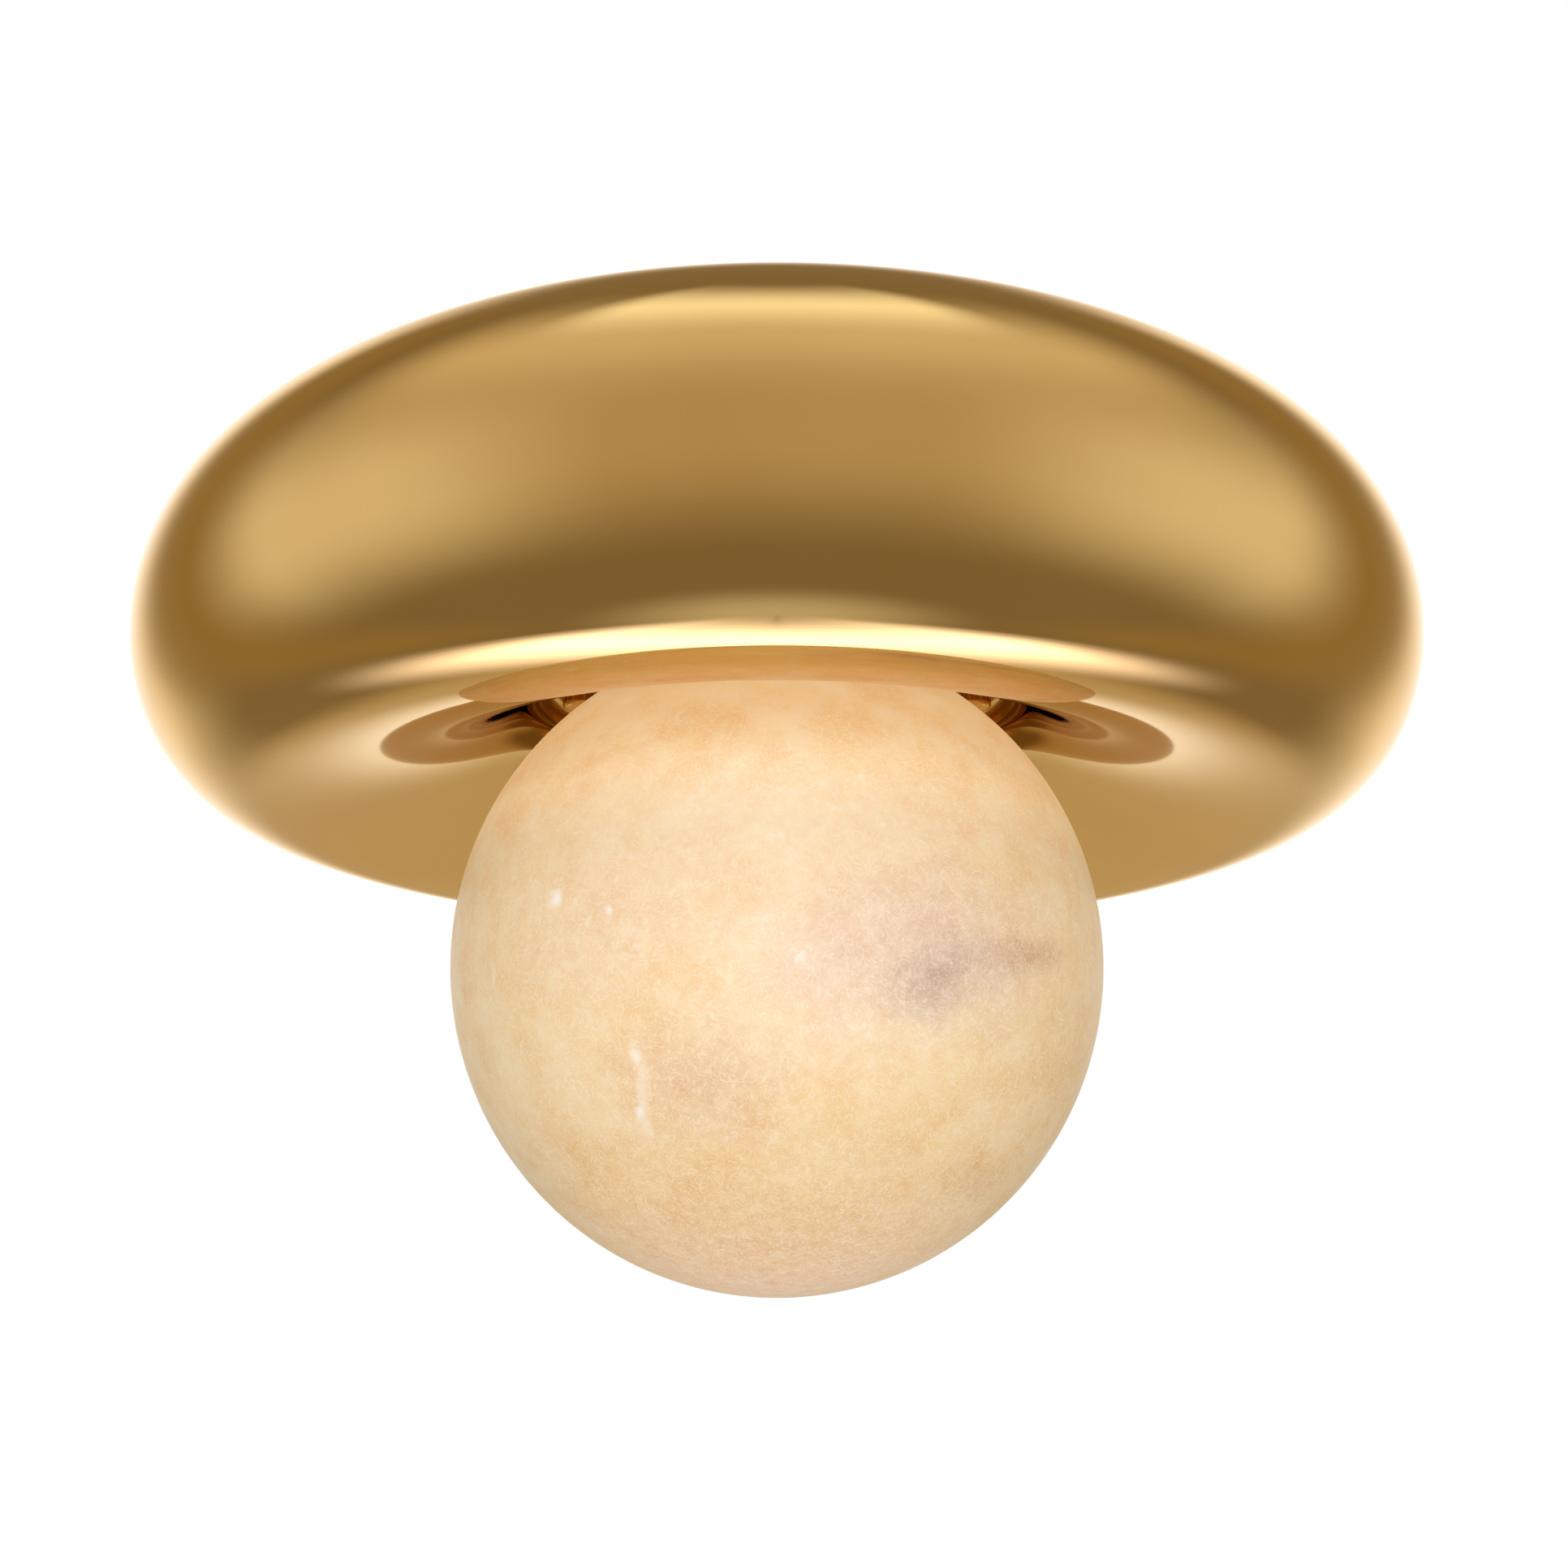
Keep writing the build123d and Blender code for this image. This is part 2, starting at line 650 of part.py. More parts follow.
# Its coil spring, round the stem
spring_top_z = cavity_z + spring_bore_length
spring_start_z = plunger_head_z + spring_wire_radius + spring_end_gap
spring_height = spring_top_z - spring_end_gap - spring_wire_radius - spring_start_z
spring_radius = (stem_radius + spring_bore_radius) / 2
with BuildPart() as plunger_spring:
    with BuildLine() as spring_line:
        Helix(spring_height / spring_coils, spring_height, spring_radius, center=(0, 0, spring_start_z))
    with BuildSketch(Plane(origin=spring_line.line @ 0, z_dir=spring_line.line % 0)):
        Circle(spring_wire_radius)
    sweep(is_frenet=True)
plunger_spring.part.label = "plunger_spring"

# Brass terminals of the lamp holder, on top of the porcelain
terminal_places = [(-socket_terminal_x, 0), (socket_terminal_x, 0)]
with BuildPart() as socket_terminals:
    with BuildSketch(Plane.XY.offset(porcelain_z)):
        with Locations(*terminal_places):
            Rectangle(socket_terminal_length, socket_terminal_width)
    extrude(amount=socket_terminal_height)
    chamfer(socket_terminals.faces().group_by(Axis.Z)[-1].edges(), length=socket_terminal_edge)
    with BuildSketch(Plane.XY.offset(porcelain_z + socket_terminal_height)):
        with Locations(*terminal_places):
            Circle(clamp_screw_radius)
    extrude(amount=-screw_slot_depth, mode=Mode.SUBTRACT)
socket_terminals.part.label = "socket_terminals"

# Light bulb, from its tip down: solder tip
insulator_z = lamp_tip_z - lamp_tip_height
base_z = insulator_z - lamp_insulator_height
base_end_z = porcelain_end_z - lamp_seat_gap
sink_end_z = base_end_z - heat_sink_length
lamp_end_z = lamp_tip_z - lamp_length
with BuildPart() as lamp_tip:
    with BuildSketch(Plane.XY.offset(insulator_z)):
        Circle(lamp_tip_radius)
    extrude(amount=lamp_tip_height)
    fillet(lamp_tip.faces().sort_by(Axis.Z)[-1].edges(), radius=lamp_tip_radius / 2)
lamp_tip.part.label = "lamp_tip"

# Black glass insulator between the tip and the screw base
with BuildPart() as lamp_insulator:
    with BuildSketch(Plane.XY.offset(base_z)):
        Circle(lamp_insulator_radius)
    with BuildSketch(Plane.XY.offset(insulator_z)):
        Circle(lamp_tip_radius)
    loft()
lamp_insulator.part.label = "lamp_insulator"

# Nickel screw base: its thread is drawn plain
with BuildPart() as lamp_screw_base:
    with BuildSketch(Plane.XZ):
        with BuildLine():
            Polyline(
                (0, base_z),
                (lamp_insulator_radius, base_z),
                (lamp_base_radius, base_z - lamp_base_shoulder),
                (lamp_base_radius, base_end_z),
                (0, base_end_z),
                close=True,
            )
        make_face()
    revolve(axis=Axis.Z)
lamp_screw_base.part.label = "lamp_screw_base"

# Finned heat sink that widens to the diffuser
with BuildPart() as lamp_heat_sink:
    with BuildSketch(Plane.XZ):
        with BuildLine():
            Line((0, base_end_z), (lamp_neck_radius, base_end_z))
            Bezier(
                (lamp_neck_radius, base_end_z),
                (lamp_neck_radius, base_end_z - heat_sink_length / 2),
                (lamp_radius, sink_end_z + heat_sink_length / 2),
                (lamp_radius, sink_end_z),
            )
            Polyline((lamp_radius, sink_end_z), (0, sink_end_z), (0, base_end_z))
        make_face()
    revolve(axis=Axis.Z)
    with BuildSketch(Plane.XY.offset(sink_end_z)):
        with PolarLocations(lamp_radius, heat_sink_fins):
            Rectangle(2 * fin_groove_depth, fin_groove_width)
    extrude(amount=heat_sink_length / 2, mode=Mode.SUBTRACT)
lamp_heat_sink.part.label = "lamp_heat_sink"

# Circuit board with its ring of light chips, on the heat sink's face
with BuildPart() as led_board:
    with BuildSketch(Plane.XY.offset(sink_end_z)):
        Circle(led_board_radius)
    extrude(amount=-led_board_thickness)
    with BuildSketch(Plane.XY.offset(sink_end_z - led_board_thickness)):
        with PolarLocations(led_chip_circle, led_chip_count):
            Rectangle(led_chip_size, led_chip_size)
    extrude(amount=-led_chip_height)
led_board.part.label = "led_board"

# Opal diffuser: a thin shell, round at its end
diffuser_radius = lamp_radius - diffuser_rim_inset
diffuser_straight = sink_end_z - lamp_end_z - diffuser_radius
with BuildPart() as lamp_diffuser:
    for inset in (0.0, diffuser_wall):
        radius = diffuser_radius - inset
        with BuildSketch(Plane.XZ):
            with BuildLine():
                Line((0, sink_end_z), (radius, sink_end_z))
                Line((radius, sink_end_z), (radius, sink_end_z - diffuser_straight))
                CenterArc((0, sink_end_z - diffuser_straight), radius, 0, -90)
                Line((0, sink_end_z - diffuser_straight - radius), (0, sink_end_z))
            make_face()
        revolve(axis=Axis.Z, mode=Mode.ADD if inset == 0 else Mode.SUBTRACT)
lamp_diffuser.part.label = "lamp_diffuser"

# Three-pole terminal block: moulded body with a tunnel for each clamp and holes for its screws
screw_ys = (block_y - clamp_screw_spacing / 2, block_y + clamp_screw_spacing / 2)
block_top_z = block_z + block_height
with BuildPart() as terminal_block:
    with BuildSketch(Plane.XY.offset(block_z)):
        with Locations((0, block_y)):
            Rectangle(block_length, block_width)
    extrude(amount=block_height)
    fillet(terminal_block.edges().filter_by(Axis.Z), radius=block_edge)
    with BuildSketch(Plane.XZ.offset(-(block_y + block_width / 2))):
        with Locations(*[(pole_x, pole_z) for pole_x in pole_places]):
            Circle(clamp_radius + clamp_gap)
    extrude(amount=block_width, mode=Mode.SUBTRACT)
    with BuildSketch(Plane.XY.offset(block_top_z)):
        with Locations(*[(pole_x, screw_y) for pole_x in pole_places for screw_y in screw_ys]):
            Circle(clamp_screw_hole_radius)
    extrude(amount=-(block_height - pole_height), mode=Mode.SUBTRACT)
    with BuildSketch(Plane.XY.offset(block_z)):
        with Locations(*block_screw_places):
            Circle(block_screw_radius + hole_clearance)
    extrude(amount=block_height, mode=Mode.SUBTRACT)
terminal_block.part.label = "terminal_block"

# Brass clamp tubes in the block
clamp_length = block_width - 2 * clamp_end_gap
with BuildPart() as terminal_clamps:
    with BuildSketch(Plane.XZ.offset(-(block_y + clamp_length / 2))):
        with Locations(*[(pole_x, pole_z) for pole_x in pole_places]):
            Circle(clamp_radius)
            Circle(clamp_bore_radius, mode=Mode.SUBTRACT)
    extrude(amount=clamp_length)
    with BuildSketch(Plane.XY.offset(pole_z)):
        with Locations(*[(pole_x, screw_y) for pole_x in pole_places for screw_y in screw_ys]):
            Circle(clamp_screw_radius + thread_gap)
    extrude(amount=clamp_radius, mode=Mode.SUBTRACT)
terminal_clamps.part.label = "terminal_clamps"

# Clamp screws, pressing on the leads
clamp_screw_z = pole_z + lead_radius + thread_gap
clamp_screw_top_z = block_top_z - clamp_screw_sink
with BuildPart() as clamp_screws:
    with BuildSketch(Plane.XY.offset(clamp_screw_z)):
        with Locations(*[(pole_x, screw_y) for pole_x in pole_places for screw_y in screw_ys]):
            Circle(clamp_screw_radius)
    extrude(amount=clamp_screw_top_z - clamp_screw_z)
    with BuildSketch(Plane.XY.offset(clamp_screw_top_z)):
        with Locations(*[(pole_x, screw_y) for pole_x in pole_places for screw_y in screw_ys]):
            Rectangle(2 * clamp_screw_radius, screw_slot_width)
    extrude(amount=-screw_slot_depth, mode=Mode.SUBTRACT)
clamp_screws.part.label = "clamp_screws"

# Two small screws that fix the block to the plate
with BuildPart() as block_screws:
    with BuildSketch(Plane.XY.offset(pan_top_z)):
        with Locations(*block_screw_places):
            Circle(block_screw_radius)
    extrude(amount=block_top_z - pan_top_z)
    with BuildSketch(Plane.XY.offset(block_top_z)):
        with Locations(*block_screw_places):
            Circle(block_screw_head_radius)
    extrude(amount=block_screw_head_height)
block_screws.part.label = "block_screws"

# Leads of the lamp holder: from the clamps, over the nipple's end, down its bore, out to the terminals
arch_z = nipple_top_z + lead_arch_height
nipple_turn_z = nipple_end_z - lead_turn_gap
clamp_face_y = block_y - block_width / 2
terminal_inner_x = socket_terminal_x - socket_terminal_length / 2
terminal_mid_z = porcelain_z + socket_terminal_height / 2
lead_end_x = terminal_inner_x - lead_radius
live_route = [
    (-pole_pitch, clamp_face_y + lead_inside_clamp, pole_z),
    (-9.5, 21.0, pole_z + 2.4),
    (-4.0, 12.0, arch_z),
    (-lead_spacing / 2, 0.0, arch_z),
    (-lead_spacing / 2, 0.0, nipple_turn_z),
    (-lead_end_x, 0.0, terminal_mid_z),
]
neutral_route = [
    (0.0, clamp_face_y + lead_inside_clamp, pole_z),
    (0.4, 21.0, pole_z + 2.4),
    (1.0, 12.0, arch_z),
    (lead_spacing / 2, 0.0, arch_z),
    (lead_spacing / 2, 0.0, nipple_turn_z),
    (lead_end_x, 0.0, terminal_mid_z),
]

# Earth lead: from the third clamp down to the screw on the plate
earth_lead_z = plate_top_z + lead_radius + thread_gap
earth_route = [
    (pole_pitch, clamp_face_y + lead_inside_clamp, pole_z),
    (11.5, 21.0, pole_z + 2.0),
    (19.0, 13.0, pole_z - 1.0),
    (27.2, 8.0, earth_lead_z),
    (27.0, -3.0, earth_lead_z),
]

with BuildPart() as live_lead:
    with BuildLine() as live_line:
        FilletPolyline(*live_route, radius=lead_radii(live_route))
    with BuildSketch(Plane(origin=live_line.line @ 0, z_dir=live_line.line % 0)):
        Circle(lead_radius)
    sweep()
live_lead.part.label = "live_lead"

with BuildPart() as neutral_lead:
    with BuildLine() as neutral_line:
        FilletPolyline(*neutral_route, radius=lead_radii(neutral_route))
    with BuildSketch(Plane(origin=neutral_line.line @ 0, z_dir=neutral_line.line % 0)):
        Circle(lead_radius)
    sweep()
neutral_lead.part.label = "neutral_lead"

with BuildPart() as earth_lead:
    with BuildLine() as earth_line:
        FilletPolyline(*earth_route, radius=lead_radii(earth_route))
    with BuildSketch(Plane(origin=earth_line.line @ 0, z_dir=earth_line.line % 0)):
        Circle(lead_radius)
    sweep()
earth_lead.part.label = "earth_lead"

# Earth screws: head down under the crossbar for the house wire, head up on the plate over the earth lead
house_head_z = -bracket_thickness - house_earth_length
plate_head_z = plate_top_z + 2 * lead_radius + earth_washer_gap
with BuildPart() as earth_screws:
    with BuildSketch(Plane.XY.offset(house_head_z)):
        with Locations((house_earth_x, 0)):
            Circle(earth_screw_radius)
    extrude(amount=-house_head_z)
    with BuildSketch(Plane.XY.offset(house_head_z)):
        with Locations((house_earth_x, 0)):
            Circle(earth_head_radius)
    extrude(amount=earth_head_height)
    with BuildSketch(Plane.XY.offset(house_head_z)):
        with Locations((house_earth_x, 0)):
            Rectangle(2 * earth_head_radius, earth_slot_width)
    extrude(amount=earth_slot_depth, mode=Mode.SUBTRACT)
    with BuildSketch(Plane.XY.offset(pan_top_z)):
        with Locations((plate_earth_x, 0)):
            Circle(earth_screw_radius)
    extrude(amount=plate_head_z - pan_top_z)
    with BuildSketch(Plane.XY.offset(plate_head_z)):
        with Locations((plate_earth_x, 0)):
            Circle(earth_head_radius)
    extrude(amount=earth_head_height)
    with BuildSketch(Plane.XY.offset(plate_head_z + earth_head_height)):
        with Locations((plate_earth_x, 0)):
            Rectangle(2 * earth_head_radius, earth_slot_width)
    extrude(amount=-earth_slot_depth, mode=Mode.SUBTRACT)
earth_screws.part.label = "earth_screws"

pieces = [
    ceiling_bracket,
    ceiling_gasket,
    outer_ring_shell,
    inner_dish_shell,
    backing_plate,
    hanger_studs,
    stud_washers,
    cap_nuts,
    globe_fitter,
    fitter_screws,
    fitter_nuts,
    slip_washer,
    globe_collar,
    neck_gasket,
    alabaster_globe,
    centre_nipple,
    nipple_nuts,
    socket_cap,
    socket_body,
    socket_screws,
    socket_screw_shell,
    contact_plunger,
    plunger_spring,
    socket_terminals,
    lamp_tip,
    lamp_insulator,
    lamp_screw_base,
    lamp_heat_sink,
    led_board,
    lamp_diffuser,
    terminal_block,
    terminal_clamps,
    clamp_screws,
    block_screws,
    live_lead,
    neutral_lead,
    earth_lead,
    earth_screws,
]
os.makedirs("parts", exist_ok=True)
for piece in pieces:
    export_step(piece.part, f"parts/{piece.part.label}.step")

for name, route in (("live", live_route), ("neutral", neutral_route), ("earth", earth_route)):
    print(name, "lead radii", [round(radius, 1) for radius in lead_radii(route)])
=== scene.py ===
import bpy
import bmesh
import math
from mathutils import Matrix, Vector


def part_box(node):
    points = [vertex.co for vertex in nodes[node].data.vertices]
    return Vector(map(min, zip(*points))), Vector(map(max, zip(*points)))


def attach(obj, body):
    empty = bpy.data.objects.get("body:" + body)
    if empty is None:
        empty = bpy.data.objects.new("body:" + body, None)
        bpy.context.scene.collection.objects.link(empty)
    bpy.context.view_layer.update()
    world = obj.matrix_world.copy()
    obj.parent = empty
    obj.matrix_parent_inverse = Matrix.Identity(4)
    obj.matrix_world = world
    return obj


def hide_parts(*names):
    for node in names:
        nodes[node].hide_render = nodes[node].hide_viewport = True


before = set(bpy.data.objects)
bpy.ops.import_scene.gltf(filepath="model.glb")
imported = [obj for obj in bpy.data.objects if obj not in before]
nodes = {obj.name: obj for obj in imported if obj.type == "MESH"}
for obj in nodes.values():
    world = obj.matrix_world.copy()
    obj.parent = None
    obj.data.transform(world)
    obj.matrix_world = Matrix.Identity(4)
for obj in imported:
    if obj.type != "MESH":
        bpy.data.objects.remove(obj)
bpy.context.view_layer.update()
MM = 0.001

# Camera and white ground. A product photograph, taken from a little below the lamp. Camera, mirror and
# glass rays see plain white all round, while the light that falls on the stone is softer and warmer.
scene = bpy.context.scene
scene.view_settings.view_transform = "Standard"

# The view was solved from the photo, in its pixels. PIXEL is the real size of one at the lamp, VIEW_RISE
# how far the camera looks up, in radians, and AXIS_COLUMN where the lamp's axis stands in the picture.
PHOTO_WIDTH = 1932
PIXEL = 0.28653 * MM
VIEW_RISE = 0.2829
VIEW_DISTANCE = 1576.19
VIEW_DROP = 227.25
AXIS_COLUMN = 957.3
SENSOR_WIDTH = 36

ahead = Vector((0, math.cos(VIEW_RISE), math.sin(VIEW_RISE)))
upward = Vector((0, -math.sin(VIEW_RISE), math.cos(VIEW_RISE)))
camera = bpy.data.objects.new("photo_camera", bpy.data.cameras.new("photo_camera"))
camera.matrix_world = Matrix((Vector((1, 0, 0)), upward, -ahead)).transposed().to_4x4()
camera.location = -(upward * VIEW_DROP + ahead * VIEW_DISTANCE) * PIXEL
camera.data.sensor_width = SENSOR_WIDTH
camera.data.lens = SENSOR_WIDTH * VIEW_DISTANCE / PHOTO_WIDTH
camera.data.shift_x = (PHOTO_WIDTH / 2 - AXIS_COLUMN) / PHOTO_WIDTH
camera.data.clip_start = 0.01
scene.collection.objects.link(camera)
scene.camera = camera


def srgb(code):
    """A colour written as #rrggbb, as the linear red, green, blue and alpha that a socket takes."""
    parts = [int(code[i : i + 2], 16) / 255 for i in (1, 3, 5)]
    linear = [p / 12.92 if p <= 0.04045 else ((p + 0.055) / 1.055) ** 2.4 for p in parts]
    return (*linear, 1.0)


def node(tree, kind, inputs=None, stops=(), **settings):
    """Adds a node with its settings and, where it is a ramp, its stops of (place, grey or colour).

    Inputs are named or numbered. Each takes a value, a socket, or a node whose first open output is meant.
    """
    made = tree.nodes.new(kind)
    for key, value in settings.items():
        setattr(made, key, value)
    named = {socket.name: socket for socket in reversed(made.inputs) if socket.enabled}
    for key, value in (inputs or {}).items():
        socket = made.inputs[key] if isinstance(key, int) else named[key]
        if isinstance(value, bpy.types.Node):
            value = next(output for output in value.outputs if output.enabled)
        if isinstance(value, bpy.types.NodeSocket):
            tree.links.new(value, socket)
        else:
            socket.default_value = value
    for i, (place, colour) in enumerate(stops):
        element = made.color_ramp.elements[i] if i < 2 else made.color_ramp.elements.new(place)
        element.position = place
        element.color = colour if isinstance(colour, tuple) else (colour, colour, colour, 1.0)
    return made


def seen_white(tree, unseen):
    """White where a camera, mirror or glass ray looks, and the other shader for all other rays."""
    rays = node(tree, "ShaderNodeLightPath").outputs
    direct = node(
        tree, "ShaderNodeMath", {0: rays["Is Camera Ray"], 1: rays["Is Glossy Ray"]}, operation="MAXIMUM"
    )
    seen = node(tree, "ShaderNodeMath", {0: direct, 1: rays["Is Transmission Ray"]}, operation="MAXIMUM")
    white = node(tree, "ShaderNodeEmission", {"Color": (1, 1, 1, 1), "Strength": 1.0})
    return node(tree, "ShaderNodeMixShader", {0: seen, 1: unseen, 2: white})


ROOM_LIGHT = 0.33
world = bpy.data.worlds.new("white_studio")
world.use_nodes = True
scene.world = world
tree = world.node_tree
tree.nodes.clear()
lit = node(tree, "ShaderNodeBackground", {"Color": srgb("#fff8ee"), "Strength": ROOM_LIGHT})
node(tree, "ShaderNodeOutputWorld", {"Surface": seen_white(tree, lit)})


def start_material(name):
    """An empty material, its node tree, and the place on the object that patterns are drawn by."""
    made = bpy.data.materials.new(name)
    made.use_nodes = True
    made.node_tree.nodes.clear()
    return made, made.node_tree, node(made.node_tree, "ShaderNodeTexCoord").outputs["Object"]


def add_object(name, shape):
    """Ends a bmesh in an object of this scene."""
    mesh = bpy.data.meshes.new(name)
    shape.to_mesh(mesh)
    shape.free()
    made = bpy.data.objects.new(name, mesh)
    scene.collection.objects.link(made)
    return made


FLOOR_DEPTH = 1.5
FLOOR_SIZE = 14.0
shape = bmesh.new()
bmesh.ops.create_grid(shape, x_segments=1, y_segments=1, size=FLOOR_SIZE / 2)
bmesh.ops.translate(shape, verts=shape.verts, vec=(0, 0, -FLOOR_DEPTH))
floor = add_object("studio_floor", shape)
paint, tree, place = start_material("white_floor_paint")
matt = node(tree, "ShaderNodeBsdfDiffuse", {"Color": srgb("#b5b2ac")})
node(tree, "ShaderNodeOutputMaterial", {"Surface": seen_white(tree, matt)})
floor.data.materials.append(paint)


# Reflection tent. Polished brass shows nothing but its surroundings, so a round tent with cards on it
# stands round the lamp for mirror rays alone: a grey wall and a high soft box in front, pale walls and warm
# dark screens at the sides, a white wall behind and a bright soft box low behind.
TENT_RADIUS = 1.4
TENT_STEPS = 48
ROOM_COLOUR = "#ffe9c4"
ROOM_LEVEL = 0.36

# Turn from the front and rise of each card's middle, its half width, half height and the softness of its
# edge, all in degrees, then its level and colour. Each card hangs before the ones listed above it.
CARDS = [
    ((0, -90), (180, 13), 10, 0.85, "#ffffff"),  # pale floor
    ((0, 5), (65, 30), 25, 0.75, "#fff1d8"),  # grey wall in front
    ((68, 0), (28, 24), 20, 1.15, "#ffffff"),  # pale walls at the sides
    ((0, 45), (72, 16), 18, 1.05, "#fff8ea"),  # white sheet high in front
    ((0, 65), (48, 9), 11, 1.9, "#f4f9ff"),  # soft box above it
    ((180, 20), (64, 36), 14, 1.45, "#ffffff"),  # white wall behind
    ((180, -32), (30, 18), 12, 0.8, "#fff1d8"),  # its shaded foot
    ((180, -63), (56, 12), 14, 6.0, "#dadcff"),  # soft box low behind
    ((100, 0), (10, 60), 12, 0.45, "#ffe2a4"),  # warm screens beside the lamp
]

shape = bmesh.new()
bmesh.ops.create_uvsphere(shape, u_segments=TENT_STEPS, v_segments=TENT_STEPS // 2, radius=TENT_RADIUS)
bmesh.ops.reverse_faces(shape, faces=shape.faces)
tent = add_object("reflection_tent", shape)
tent.visible_camera = False
tent.visible_diffuse = False
tent.visible_shadow = False
tent.visible_transmission = False
cards, tree, place = start_material("grey_and_white_cards")
direction = node(tree, "ShaderNodeVectorMath", {0: place}, operation="NORMALIZE")
along = node(tree, "ShaderNodeSeparateXYZ", {"Vector": direction}).outputs
rise = node(tree, "ShaderNodeMath", {0: along["Z"]}, operation="ARCSINE")
aside = node(tree, "ShaderNodeMath", {0: along["X"]}, operation="ABSOLUTE")
toward = node(tree, "ShaderNodeMath", {0: along["Y"], 1: -1.0}, operation="MULTIPLY")
turn = node(tree, "ShaderNodeMath", {0: aside, 1: toward}, operation="ARCTAN2")
tint = node(tree, "ShaderNodeRGB").outputs["Color"]
tint.default_value = tuple(ROOM_LEVEL * part for part in srgb(ROOM_COLOUR))
for middle, half_size, edge, level, colour in CARDS:
    cover = 1.0
    for angle, centre, half in zip((turn, rise), middle, half_size):
        off = node(tree, "ShaderNodeMath", {0: angle, 1: math.radians(centre)}, operation="SUBTRACT")
        away = node(tree, "ShaderNodeMath", {0: off}, operation="ABSOLUTE")
        limits = {
            "Value": away,
            "From Min": math.radians(half + edge),
            "From Max": math.radians(half - edge),
        }
        within = node(tree, "ShaderNodeMapRange", limits, interpolation_type="SMOOTHSTEP")
        cover = node(tree, "ShaderNodeMath", {0: cover, 1: within}, operation="MULTIPLY")
    card = tuple(level * part for part in srgb(colour))
    tint = node(tree, "ShaderNodeMix", {"Factor": cover, "A": tint, "B": card}, data_type="RGBA")
shine = node(tree, "ShaderNodeEmission", {"Color": tint, "Strength": 1.0})
node(tree, "ShaderNodeOutputMaterial", {"Surface": shine})
tent.data.materials.append(cards)


# Soft boxes. They light the stone and stay out of the brass, which mirrors the tent instead: a wide, low
# and cool key in front, and a light behind that parts the ring from the ground.
LIGHT_AIM = Vector((0, 0, -0.12))
LAMPS = [
    ("front_soft_box", (0.0, -1.3, -0.42), (2.2, 0.7), 19.0, "#f2f5ff"),
    ("back_soft_box", (0.3, 1.2, 0.5), (0.8, 0.8), 8.0, "#ffffff"),
]
for name, spot, sides, watts, colour in LAMPS:
    light = bpy.data.lights.new(name, "AREA")
    light.shape = "RECTANGLE"
    light.size, light.size_y = sides
    light.energy = watts
    light.color = srgb(colour)[:3]
    lamp = bpy.data.objects.new(name, light)
    lamp.location = spot
    lamp.rotation_euler = (LIGHT_AIM - lamp.location).to_track_quat("-Z", "Y").to_euler()
    lamp.visible_glossy = False
    scene.collection.objects.link(lamp)


# Brass ring. Taken as two spun sheets of brass, brazed along the lowest line, then polished and lacquered.
# It is open towards the ceiling, and its flat pan carries the globe's threaded neck. Sizes in millimetres.
RING_RADIUS = 200.0
CREST_RADIUS = 163.1
CREST_Z = -88.2
BULGE_Z = -42.4
BULGE_HANDLE = 17.0
LIP_RADIUS = 180.0
LIP_Z = -2.0
LIP_LEAN = math.radians(56.4)
LIP_HANDLE = 14.4
LIP_FLANGE = 14.0
WELL_RADIUS = 82.0
WELL_LEAN = math.radians(1.5)
WELL_BEND = 3.0
CREST_HANDLE = 16.0
WELL_HANDLE = 35.0
PAN_Z = -30.9
PAN_RADII = (60.0, 30.0, 6.0)
BRASS_WALL = 1.5
STEPS_ROUND_RING = 384
LIP_STEPS = 40
BULGE_STEPS = 48
DISH_STEPS = 72
BEND_STEPS = 12
CREASE_ANGLE = math.radians(40)


def bezier(points, steps):
    """Points along a cubic curve, without its first one."""
    a, b, c, d = (Vector(p) for p in points)
    return [
        a * (1 - t) ** 3 + b * 3 * t * (1 - t) ** 2 + c * 3 * t * t * (1 - t) + d * t**3
        for t in (i / steps for i in range(1, steps + 1))
    ]


def arc(centre, radii, first, last, steps):
    """Points round a centre, without the first one. Angles in radians, from the outward direction."""
    swings = (first + (last - first) * i / steps for i in range(1, steps + 1))
    return [centre + Vector((radii[0] * math.cos(s), radii[1] * math.sin(s))) for s in swings]


def thickened(line, wall):
    """The line one wall further in, to the right of its run."""
    back = []
    for i, point in enumerate(line):
        run = (line[min(i + 1, len(line) - 1)] - line[max(i - 1, 0)]).normalized()
        back.append(point + Vector((run.y, -run.x)) * wall)
    return back


